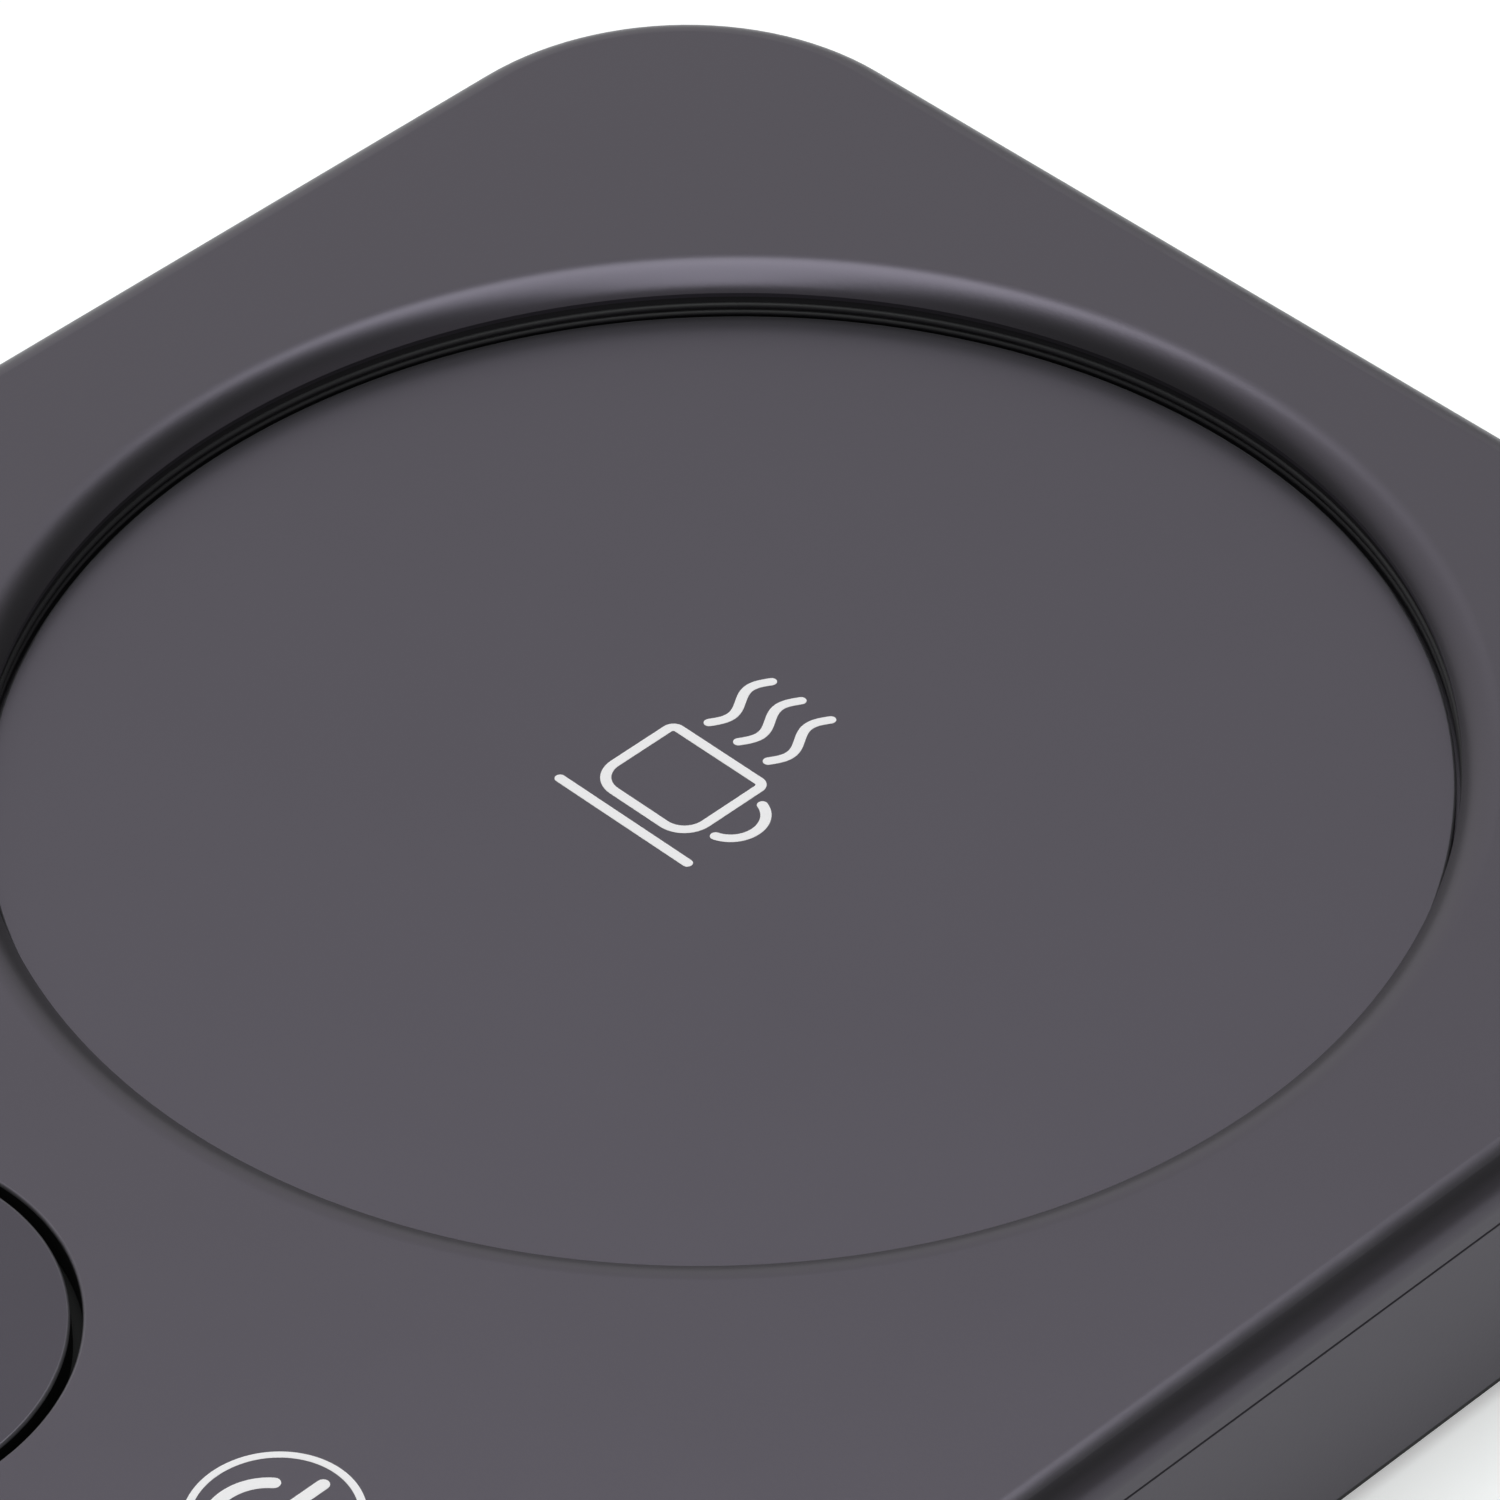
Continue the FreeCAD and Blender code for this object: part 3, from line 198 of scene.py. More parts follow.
class StudioSettings(PropertyGroup):
    dome: number("Dome", "Brightness of the studio's ceiling", 1.0)
    card: FloatVectorProperty(name="White Card", description="Direction of the large white card",
                              default=(-0.75, 0.30, 0.60), size=3, subtype="DIRECTION")
    softbox: number("Softbox", "Power of the softbox overhead", 9.6, subtype="POWER")
    softbox_colour: colour("Softbox Colour", "Slightly cool light", (0.95, 1.0, 0.985))
    softbox_long: length("Softbox Length", "Long side of the softbox", 1720.0)
    softbox_wide: length("Softbox Width", "Short side of the softbox", 560.0)
    softbox_turn: number("Softbox Turn", "Turn of the softbox about the vertical",
                         math.radians(-43.3), -math.tau, subtype="ANGLE", unit="ROTATION")
    lens: number("Lens", "Focal length", 225.6, 1.0, subtype="DISTANCE_CAMERA")


class MugWarmerSettings(PropertyGroup):
    case: PointerProperty(type=CaseSettings)
    plate: PointerProperty(type=PlateSettings)
    button: PointerProperty(type=ButtonSettings)
    prints: PointerProperty(type=PrintSettings)
    finish: PointerProperty(type=FinishSettings)
    studio: PointerProperty(type=StudioSettings)


# Mesh work

def arc(centre_r, centre_z, radius, start, end, steps):
    """Points on an arc, angles in degrees from the outward side."""
    points = []
    for step in range(steps + 1):
        angle = math.radians(start + (end - start) * step / steps)
        points.append((centre_r + radius * math.cos(angle), centre_z + radius * math.sin(angle)))
    return points


def ring(mesh, radius, level, centre, steps):
    """A level loop round a centre, or one vertex where the radius is nothing."""
    if radius < 1e-9:
        return [mesh.verts.new((centre[0], centre[1], level))]
    return [mesh.verts.new((centre[0] + radius * math.cos(2 * math.pi * step / steps),
                            centre[1] + radius * math.sin(2 * math.pi * step / steps), level))
            for step in range(steps)]


def outlines(mesh, sizes, profile):
    """Level loops round the case with its rounded corners, one for each inset and level."""
    loops = []
    for inset, level in profile:
        loop = []
        for quarter, (side_x, side_y) in enumerate(((1, 1), (-1, 1), (-1, -1), (1, -1))):
            for step in range(sizes.corner_steps + 1):
                angle = (quarter + step / sizes.corner_steps) * math.pi / 2
                radius = sizes.corner - inset
                loop.append(mesh.verts.new((
                    side_x * (HALF_X - sizes.corner) + radius * math.cos(angle),
                    side_y * (HALF_Y - sizes.corner) + radius * math.sin(angle), level)))
        loops.append(loop)
    return loops


def skin(mesh, low, high):
    """Faces between two loops that run anticlockwise, the first below or inside the second."""
    count = max(len(low), len(high))
    for step in range(count):
        following = (step + 1) % count
        if len(low) == 1:
            mesh.faces.new((low[0], high[step], high[following]))
        elif len(high) == 1:
            mesh.faces.new((low[step], low[following], high[0]))
        else:
            mesh.faces.new((low[step], low[following], high[following], high[step]))


def skins(mesh, loops, closed=False):
    for low, high in zip(loops, loops[1:] + (loops[:1] if closed else [])):
        if not (len(low) == 1 and len(high) == 1):
            skin(mesh, low, high)


def lathe(mesh, profile, centre, steps, closed=False):
    """Turns a profile of radii and levels about an upright axis."""
    loops = [ring(mesh, radius, level, centre, steps) for radius, level in profile]
    skins(mesh, loops, closed)
    return loops


def fill(mesh, loops, normal):
    """A flat face inside the first loop, with the other loops as its holes."""
    edges = [mesh.edges.get(pair) or mesh.edges.new(pair)
             for loop in loops for pair in zip(loop, loop[1:] + loop[:1])]
    bmesh.ops.triangle_fill(mesh, use_beauty=True, use_dissolve=False, edges=edges, normal=normal)


def mesh_data(mesh, name):
    """Mesh data from the mesh work, with its faces turned outward."""
    bmesh.ops.recalc_face_normals(mesh, faces=mesh.faces[:])
    data = bpy.data.meshes.new(name)
    mesh.to_mesh(data)
    mesh.free()
    return data


def linked(name, data):
    """A new object in the scene's own collection."""
    made = bpy.data.objects.new(name, data)
    bpy.context.scene.collection.objects.link(made)
    return made


def mark_edges(data):
    """Writes 1 on the narrow sloping faces that round an edge and 0 elsewhere, for the edge wear
    and the painted edge highlights.
    """
    marks = data.attributes.new("edge", "FLOAT", "FACE")
    for face in data.polygons:
        spots = [data.vertices[index].co for index in face.vertices]
        longest = max((spot - spots[place - 1]).length for place, spot in enumerate(spots))
        narrow = face.area < NARROW_FACE * longest
        marks.data[face.index].value = float(narrow and UPRIGHT < abs(face.normal.z) < FLAT)


def piece_from(data, material, body, node=None, sharp=32.0, weighted=True):
    """A smooth piece, named like its mesh, that may stand in for a node of the frame."""
    data.shade_smooth()
    data.set_sharp_from_angle(angle=math.radians(sharp))
    mark_edges(data)
    piece = linked(data.name, data)
    piece.data.materials.clear()
    piece.data.materials.append(material)
    if weighted:
        even = piece.modifiers.new("Even Shading", "WEIGHTED_NORMAL")
        even.mode = "FACE_AREA"
        even.keep_sharp = True
        even.weight = 90
    if node:
        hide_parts(node)
    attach(piece, body)
    return piece


def second_material(piece, material, picked):
    """Gives a second material to the faces that the test picks."""
    piece.data.materials.append(material)
    for face in piece.data.polygons:
        face.material_index = int(picked(face))


def evaluated_mesh(piece, name):
    """The plain mesh that a piece's modifiers make; the piece itself goes."""
    bpy.context.view_layer.update()
    graph = bpy.context.evaluated_depsgraph_get()
    data = bpy.data.meshes.new_from_object(
        piece.evaluated_get(graph), preserve_all_data_layers=True, depsgraph=graph)
    data.name = name
    bpy.data.objects.remove(piece)
    return data


# Node work

def give(tree, socket, value):
    """Links a socket to another one, or sets its value; a colour gets its fourth channel."""
    if isinstance(value, bpy.types.NodeSocket):
        tree.links.new(value, socket)
    else:
        socket.default_value = (*value, 1.0) if socket.type == "RGBA" else value


def set_inputs(tree, node, inputs):
    for name, value in inputs.items():
        give(tree, node.inputs[name], value)


def add_node(tree, kind, inputs=None, **settings):
    """A new node with its settings, then its inputs by name or number."""
    node = tree.nodes.new(kind)
    for name, value in settings.items():
        setattr(node, name, value)
    set_inputs(tree, node, inputs or {})
    return node


def math_node(tree, operation, *values, clamp=False):
    return add_node(tree, "ShaderNodeMath", dict(enumerate(values)), operation=operation,
                    use_clamp=clamp).outputs[0]


def noise_node(tree, vector, scale, detail=2.0, roughness=0.5):
    return add_node(tree, "ShaderNodeTexNoise", {
        "Vector": vector, "Scale": scale, "Detail": detail, "Roughness": roughness}).outputs["Fac"]


def object_vector(tree):
    return add_node(tree, "ShaderNodeTexCoord").outputs["Object"]


def blended(tree, factor, first, second):
    """The first colour where the factor is 0 and the second where it is 1."""
    node = add_node(tree, "ShaderNodeMix", {"Factor": factor}, data_type="RGBA")
    sockets = [socket for socket in node.inputs if socket.type == "RGBA"]
    for socket, value in zip(sockets, (first, second)):
        give(tree, socket, value)
    return next(socket for socket in node.outputs if socket.type == "RGBA")


def group_tree(name, family, inputs, outputs):
    """A node group with the sockets of its inputs to read and of its outputs to feed."""
    tree = bpy.data.node_groups.new(name, family)
    for labels, side in ((inputs, "INPUT"), (outputs, "OUTPUT")):
        for label, kind in labels.items():
            tree.interface.new_socket(name=label, in_out=side, socket_type="NodeSocket" + kind)
    return tree, add_node(tree, "NodeGroupInput").outputs, add_node(tree, "NodeGroupOutput").inputs


# Shader node groups

def tone_group():
    """Slow and fine variation of a moulded or coated surface's colour and gloss."""
    tree, given, result = group_tree(
        "Tone Variation", "ShaderNodeTree",
        {"Colour": "Color", "Shift": "Float", "Patch Scale": "Float", "Roughness": "Float",
         "Gloss Shift": "Float"},
        {"Colour": "Color", "Roughness": "Float"})
    where = object_vector(tree)
    patches = noise_node(tree, where, given["Patch Scale"], 4.0, 0.6)
    fine = noise_node(tree, where, 5200.0, 1.0)
    mixed = math_node(tree, "MULTIPLY_ADD", fine, 0.6, math_node(tree, "MULTIPLY", patches, 0.4))
    swing = math_node(tree, "MULTIPLY_ADD", mixed, 2.0, -1.0)
    factor = math_node(tree, "MULTIPLY_ADD", swing, given["Shift"], 1.0)
    tinted = add_node(tree, "ShaderNodeVectorMath", {0: given["Colour"], "Scale": factor},
                      operation="SCALE")
    give(tree, result["Colour"], tinted.outputs[0])
    gloss = math_node(tree, "MULTIPLY_ADD", patches, 2.0, -1.0)
    give(tree, result["Roughness"],
         math_node(tree, "MULTIPLY_ADD", gloss, given["Gloss Shift"], given["Roughness"]))
    return tree


def grain_group():
    """Height of a fine spark-eroded or blasted texture."""
    tree, given, result = group_tree(
        "Surface Grain", "ShaderNodeTree", {"Scale": "Float"}, {"Height": "Float"})
    where = object_vector(tree)
    coarse = noise_node(tree, where, given["Scale"], 2.0, 0.55)
    fine = noise_node(tree, where, math_node(tree, "MULTIPLY", given["Scale"], 2.6), 1.0)
    give(tree, result["Height"], math_node(tree, "MULTIPLY_ADD", fine, 0.35, coarse))
    return tree


def masked_group(name, pale, make_mask):
    """A group that lays a pale colour over a surface by its mask times the Amount."""
    tree, given, result = group_tree(
        name, "ShaderNodeTree", {"Colour": "Color", "Amount": "Float"}, {"Colour": "Color"})
    mask = math_node(tree, "MULTIPLY", make_mask(tree), given["Amount"], clamp=True)
    give(tree, result["Colour"], blended(tree, mask, given["Colour"], pale))
    return tree


def dust_mask(tree):
    """Specks and film that settle on faces that look up."""
    where = object_vector(tree)
    normal = add_node(tree, "ShaderNodeNewGeometry").outputs["Normal"]
    facing = add_node(tree, "ShaderNodeSeparateXYZ", {0: normal})
    up = math_node(tree, "MAXIMUM", facing.outputs["Z"], 0.0)
    cells = add_node(tree, "ShaderNodeTexVoronoi", {"Scale": 420.0, "Vector": where})
    speck = math_node(tree, "LESS_THAN", cells.outputs["Distance"], 0.035)
    film = noise_node(tree, where, 38.0, 3.0, 0.6)
    return math_node(tree, "MULTIPLY", math_node(tree, "MULTIPLY_ADD", speck, 2.0, film), up)


def wear_and_highlight_mask(tree):
    """The marked edges, broken up by a noise: partly real wear, partly painted highlight along the
    edges.
    """
    marks = add_node(tree, "ShaderNodeAttribute", attribute_name="edge").outputs["Fac"]
    rubbed = noise_node(tree, object_vector(tree), 340.0, 3.0, 0.6)
    patchy = math_node(tree, "MULTIPLY_ADD", rubbed, 1.6, -0.1, clamp=True)
    return math_node(tree, "MULTIPLY", marks, patchy)


GROUP_MAKERS = {
    "Tone Variation": tone_group,
    "Surface Grain": grain_group,
    "Settled Dust": lambda: masked_group("Settled Dust", (0.45, 0.44, 0.43), dust_mask),
    # Pale paint on the marked edges: partly wear, partly painted highlight where bevels would catch
    # the light
    "Edge Wear and Highlight": lambda: masked_group("Edge Wear and Highlight", (0.13, 0.125, 0.135), wear_and_highlight_mask),
}


def placed_group(tree, name, values):
    """The outputs of a shader group's node, which is made on its first use."""
    group = bpy.data.node_groups.get(name) or GROUP_MAKERS[name]()
    return add_node(tree, "ShaderNodeGroup", values, node_tree=group).outputs


# Materials

def plain_material(name):
    material = bpy.data.materials.new(name)
    material.use_nodes = True
    tree = material.node_tree
    return material, tree, next(node for node in tree.nodes if node.type == "BSDF_PRINCIPLED")


def toned(tree, base, shift, patch, roughness, gloss_shift):
    return placed_group(tree, "Tone Variation", {
        "Colour": base, "Shift": shift, "Patch Scale": patch, "Roughness": roughness,
        "Gloss Shift": gloss_shift})


def bump(tree, height, strength, distance):
    return add_node(tree, "ShaderNodeBump", {
        "Strength": strength, "Distance": distance, "Height": height}).outputs["Normal"]


def moulded(name, base, roughness=0.45, shift=0.05, grain=3600.0, depth=0.12, dust=0.0,
            specular=0.5, wear_and_highlight=0.0, sheen=(1.0, 1.0, 1.0)):
    """Moulded, coated or rubber surface: grain, slow tone changes, worn edges with painted edge
    highlights, a trace of dust.
    """
    material, tree, shader = plain_material(name)
    tone = toned(tree, base, shift, 60.0, roughness, 0.03)
    surface = tone["Colour"]
    # Pale tint on the marked edges, partly wear and partly painted highlight, then the dust
    for group, amount in (("Edge Wear and Highlight", wear_and_highlight), ("Settled Dust", dust)):
        if amount:
            surface = placed_group(tree, group, {"Colour": surface, "Amount": amount})["Colour"]
    height = placed_group(tree, "Surface Grain", {"Scale": grain})["Height"]
    set_inputs(tree, shader, {
        "Base Color": surface, "Roughness": tone["Roughness"], "Specular IOR Level": specular,
        "Specular Tint": sheen, "Normal": bump(tree, height, depth, 0.00003)})
    return material


def metal(name, base, roughness, stretch=(1.0, 1.0, 14.0), scale=900.0):
    """Rolled or turned metal with fine drawn lines."""
    material, tree, shader = plain_material(name)
    mapping = add_node(tree, "ShaderNodeMapping", {"Scale": stretch, "Vector": object_vector(tree)})
    lines = noise_node(tree, mapping.outputs["Vector"], scale, 3.0, 0.6)
    tone = toned(tree, base, 0.08, 140.0, roughness, 0.08)
    gloss = math_node(tree, "MULTIPLY_ADD", lines, 0.12, tone["Roughness"])
    set_inputs(tree, shader, {
        "Base Color": tone["Colour"], "Roughness": gloss, "Metallic": 1.0,
        "Normal": bump(tree, lines, 0.15, 0.00002)})
    return material


def layered(name, first, second, pattern, roughness):
    """Two colours shared out by a pattern, such as board tracks or film lines."""
    material, tree, shader = plain_material(name)
    mask, height = pattern(tree)
    tone = toned(tree, blended(tree, mask, first, second), 0.05, 120.0, roughness, 0.06)
    set_inputs(tree, shader, {
        "Base Color": tone["Colour"], "Roughness": tone["Roughness"],
        "Normal": bump(tree, height, 0.3, 0.00004)})
    return material


def stripes(scale, edge):
    """Bands across the X axis, as a pattern for layered()."""
    def pattern(tree):
        wave = add_node(tree, "ShaderNodeTexWave", {"Scale": scale, "Vector": object_vector(tree)},
                        wave_type="BANDS", bands_direction="X").outputs["Fac"]
        return math_node(tree, "GREATER_THAN", wave, edge), wave
    return pattern


def tracks(tree):
    """Copper tracks under green lacquer: the walls between large cells."""
    cells = add_node(tree, "ShaderNodeTexVoronoi", {"Scale": 260.0, "Vector": object_vector(tree)},
                     feature="DISTANCE_TO_EDGE")
    mask = math_node(tree, "LESS_THAN", cells.outputs["Distance"], 0.09)
    return mask, mask


def body_plastic(finish):
    """The satin plastic that shell and tray share."""
    return bpy.data.materials.get("Moulded Body") or moulded(
        "Moulded Body", finish.case, roughness=0.31, dust=0.006, specular=1.0, wear_and_highlight=0.4,
        sheen=finish.sheen)


def painted_groove_shade(finish):
    """Near-black painted shade on both walls of the push button's groove, where the groove lies in
    shadow.
    """
    return bpy.data.materials.get("Groove Painted Shade") or moulded(
        "Groove Painted Shade", finish.groove_shade_colour, roughness=0.6, grain=2000.0, specular=0.2)


# Studio

class MUGWARMER_OT_make_stage(Operator):
    """Make the camera, the floor, the softbox and the white surroundings"""
    bl_idname = "mugwarmer.make_stage"
    bl_label = "Make Stage"

    def execute(self, context):
        studio = context.scene.mug_warmer.studio
        self.make_camera(context, studio)
        self.make_floor()
        self.make_softbox(studio)
        self.make_world(context, studio)
        context.scene.view_settings.view_transform = "Standard"
        return {"FINISHED"}

    def make_camera(self, context, studio):
        data = bpy.data.cameras.new("Camera")
        data.lens = studio.lens
        data.sensor_width = 36.0
        data.clip_start, data.clip_end = 0.01, 20.0
        camera = linked("Camera", data)
        right, back = Vector(CAMERA_RIGHT), Vector(CAMERA_BACK).normalized()
        right = (right - back * right.dot(back)).normalized()
        turn = Matrix((right, back.cross(right), back)).transposed().to_4x4()
        camera.matrix_world = Matrix.Translation(CAMERA_PLACE) @ turn
        context.scene.camera = camera

    def make_floor(self):
        """A floor that glows a little toward the camera and is clear from below."""
        data = bpy.data.meshes.new("Floor")
        data.from_pydata([(x * FLOOR_HALF, y * FLOOR_HALF, 0.0)
                          for x, y in ((-1, -1), (1, -1), (1, 1), (-1, 1))], [], [(0, 1, 2, 3)])
        floor = linked("Floor", data)
        material, tree, shader = plain_material("Pale Floor")
        set_inputs(tree, shader, {
            "Base Color": (0.80, 0.80, 0.80), "Roughness": 0.9, "Specular IOR Level": 0.1})
        paths = add_node(tree, "ShaderNodeLightPath").outputs
        mirrored = math_node(tree, "MAXIMUM", paths["Is Glossy Ray"], paths["Is Transmission Ray"])
        seen = math_node(tree, "MULTIPLY", paths["Is Camera Ray"], FLOOR_GLOW_SEEN)
        glow = add_node(tree, "ShaderNodeEmission", {
            "Strength": math_node(tree, "MULTIPLY_ADD", mirrored, FLOOR_GLOW_MIRRORED, seen)})
        above = add_node(tree, "ShaderNodeAddShader", {0: shader.outputs[0], 1: glow.outputs[0]})
        below = add_node(tree, "ShaderNodeBsdfTransparent")
        chosen = add_node(tree, "ShaderNodeMixShader", {
            0: add_node(tree, "ShaderNodeNewGeometry").outputs["Backfacing"],
            1: above.outputs[0], 2: below.outputs[0]})
        output = next(node for node in tree.nodes if node.type == "OUTPUT_MATERIAL")
        give(tree, output.inputs["Surface"], chosen.outputs[0])
        floor.data.materials.append(material)

    def make_softbox(self, studio):
        data = bpy.data.lights.new("Softbox", "AREA")
        data.shape = "RECTANGLE"
        data.size = studio.softbox_long
        data.size_y = studio.softbox_wide
        data.energy = studio.softbox
        data.color = studio.softbox_colour
        lamp = linked("Softbox", data)
        lamp.location = SOFTBOX_PLACE
        lamp.rotation_euler = (0.0, 0.0, studio.softbox_turn)

    def make_world(self, context, studio):
        """White where the camera looks; light that brightens toward the white card elsewhere."""
        world = bpy.data.worlds.new("Studio")
        world.use_nodes = True
        context.scene.world = world
        tree = world.node_tree
        tree.nodes.clear()
        toward = add_node(tree, "ShaderNodeVectorMath", {
            0: add_node(tree, "ShaderNodeTexCoord").outputs["Generated"],
            1: Vector(studio.card).normalized()}, operation="DOT_PRODUCT")
        place = math_node(tree, "MULTIPLY_ADD", toward.outputs["Value"], 0.5, 0.5)
        ramp = add_node(tree, "ShaderNodeValToRGB", {"Fac": place})
        ramp.color_ramp.interpolation = "EASE"
        points = ramp.color_ramp.elements
        while len(points) < len(CARD_STOPS):
            points.new(0.5)
        for point, (position, level) in zip(points, CARD_STOPS):
            point.position = position
            point.color = (level, level, level, 1.0)
        lit = add_node(tree, "ShaderNodeBackground", {
            "Strength": studio.dome, "Color": ramp.outputs["Color"]})
        white = add_node(tree, "ShaderNodeBackground", {"Color": (1.0, 1.0, 1.0)})
        chosen = add_node(tree, "ShaderNodeMixShader", {
            0: add_node(tree, "ShaderNodeLightPath").outputs["Is Camera Ray"],
            1: lit.outputs[0], 2: white.outputs[0]})
        add_node(tree, "ShaderNodeOutputWorld", {"Surface": chosen.outputs[0]})


# Case

def screw_spots():
    """Centres of the four casing screws, which the feet cover."""
    return [(x, y) for x in (FEET_LOW.x + FOOT_RADIUS, FEET_HIGH.x - FOOT_RADIUS)
            for y in (FEET_LOW.y + FOOT_RADIUS, FEET_HIGH.y - FOOT_RADIUS)]


class MUGWARMER_OT_make_top_shell(Operator):
    """Make the upper shell with its recess and button hole"""
    bl_idname = "mugwarmer.make_top_shell"
    bl_label = "Make Top Shell"

    def execute(self, context):
        settings = context.scene.mug_warmer
        sizes, plate, finish = settings.case, settings.plate, settings.finish
        mesh = bmesh.new()
        under = TOP - sizes.wall
        wall_top = TOP - sizes.edge_round
        profile = [(sizes.seam_bevel, SEAM), (0.0, SEAM + sizes.seam_bevel), (0.0, wall_top)]
        profile += [(sizes.edge_round - r, z)
                    for r, z in arc(0.0, wall_top, sizes.edge_round, 0, 90, 22)[1:]]
        outer = outlines(mesh, sizes, profile)
        groove = sizes.wall + sizes.tongue_gap
        inner, tongue_low = groove + sizes.tongue, SEAM - TONGUE_DEPTH
        inside = outlines(mesh, sizes, [(groove, SEAM), (groove, tongue_low), (inner, tongue_low),
                                        (inner, under)])
        skins(mesh, inside[::-1] + outer)

        bore = plate.face + BORE_GAP
        rebate = plate.face + SEAL_GAP + plate.seal_wall + REBATE_GAP
        turn = math.degrees(math.asin(sizes.recess_reach / sizes.recess_round))
        rim = [(bore + sizes.recess_reach - r, TOP - sizes.recess_round + z)
               for r, z in arc(0.0, 0.0, sizes.recess_round, 90, 90 - turn, 18)]
        low = rim[-1][1] - sizes.recess_lip
        rim += [(bore, low), (rebate, low), (rebate, under)]
        recess = lathe(mesh, rim, (0.0, PLATE_Y), sizes.round_steps)

        radius, bevel = settings.button.radius + sizes.hole_gap, sizes.hole_bevel
        rim = [(radius + bevel - r, TOP - bevel + z) for r, z in arc(0.0, 0.0, bevel, 90, 0, 4)]
        hole = lathe(mesh, rim + [(radius, under)], (0.0, CAP_Y), sizes.round_steps)

        fill(mesh, [outer[-1], recess[0], hole[0]], (0, 0, 1))
        fill(mesh, [inside[-1], recess[-1], hole[-1]], (0, 0, -1))
        post_top = under + POST_OVERLAP
        for spot in screw_spots():
            lathe(mesh, [(0, POST_LEVEL), (SHELL_POST, POST_LEVEL), (SHELL_POST, post_top),
                         (0, post_top)], spot, 32)
        piece = piece_from(mesh_data(mesh, "top_shell_skin"), body_plastic(finish), "housing",
                           "top_shell")

        def from_hole(face):
            return (face.center.xy - Vector((0.0, CAP_Y))).length

        # Painted highlights: full edge paint on the groove's upward rims round the button hole, and
        # a faint pale line where the top starts to round over, away from the plate
        marks = piece.data.attributes["edge"].data
        for face in piece.data.polygons:
            beyond = (face.center.xy - Vector((0.0, PLATE_Y))).length > plate.face + 5 * MM
            if from_hole(face) < radius + bevel and face.normal.z > 0.3:
                marks[face.index].value = 1.0
            elif beyond and face.center.z > wall_top and 0.92 < face.normal.z < FLAT:
                marks[face.index].value = 0.4
        # Painted shade: the button hole's upright wall takes the near-black groove material instead
        # of the case plastic
        second_material(piece, painted_groove_shade(finish), lambda face: (
            from_hole(face) < radius + 0.1 * bevel and abs(face.normal.z) < 0.1
            and face.center.z > under))
        return {"FINISHED"}


class MUGWARMER_OT_make_base_tray(Operator):
    """Make the lower tray with its foot seats and inlet slot"""
    bl_idname = "mugwarmer.make_base_tray"
    bl_label = "Make Base Tray"

    def execute(self, context):
        sizes = context.scene.mug_warmer.case
        finish = context.scene.mug_warmer.finish
        mesh = bmesh.new()
        low, floor = TRAY_LOW.z, TRAY_LOW.z + TRAY_FLOOR
        band, step = low + sizes.foot_band, sizes.foot_step
        loops = outlines(mesh, sizes, [
            (step + TRAY_BEVEL, low), (step, low + TRAY_BEVEL), (step, band - step), (0.0, band),
            (0.0, SEAM - sizes.seam_bevel), (sizes.seam_bevel, SEAM), (sizes.wall, SEAM),
            (sizes.wall, floor)])
        skins(mesh, loops)
        seats = [lathe(mesh, [
            (FOOT_SEAT, low), (FOOT_SEAT, SEAT_LEVEL), (HEAD_BORE, SEAT_LEVEL),
            (HEAD_BORE, HEAD_LEVEL), (SCREW_BORE, HEAD_LEVEL), (SCREW_BORE, POST_LEVEL),
            (TRAY_POST, POST_LEVEL), (TRAY_POST, floor)], spot, 64) for spot in screw_spots()]
        fill(mesh, [loops[0]] + [seat[0] for seat in seats], (0, 0, -1))
        fill(mesh, [loops[-1]] + [seat[-1] for seat in seats], (0, 0, 1))
        blank = linked("base_tray_blank", mesh_data(mesh, "base_tray_blank"))
        cutter = self.make_cutter()
        cut = blank.modifiers.new("Inlet Slot", "BOOLEAN")
        cut.operation = "DIFFERENCE"
        cut.solver = "EXACT"
        cut.object = cutter
        data = evaluated_mesh(blank, "base_tray_skin")
        bpy.data.objects.remove(cutter)
        piece = piece_from(data, body_plastic(finish), "housing", "base_tray")
        matt = moulded("Matt Underside", finish.under, roughness=0.7, grain=1400.0, depth=0.3,
                       shift=0.1, specular=0.35)
        second_material(piece, matt, lambda face: face.center.z < band)
        return {"FINISHED"}

    def make_cutter(self):
        """Stadium-shaped bar through the back wall, a small gap larger than the inlet."""
        mesh = bmesh.new()
        centre_x = (INLET_LOW.x + INLET_HIGH.x) / 2
        centre_z = (INLET_LOW.z + INLET_HIGH.z) / 2
        half_tall = (INLET_HIGH.z - INLET_LOW.z) / 2 + INLET_GAP
        half_wide = (INLET_HIGH.x - INLET_LOW.x) / 2 + INLET_GAP
        points = []
        for side in (1, -1):
            points += arc(centre_x + side * (half_wide - half_tall), centre_z, half_tall,
                          -90 * side, 180 - 90 * side, 16)
        loops = [[mesh.verts.new((x, y, z)) for x, z in points]
                 for y in (HALF_Y + CUT_OUTSIDE, HALF_Y - CUT_INSIDE)]
        skin(mesh, loops[0], loops[1])
        for loop in loops:
            mesh.faces.new(loop)
        return linked("inlet_cutter", mesh_data(mesh, "inlet_cutter"))


# Heating plate and seal

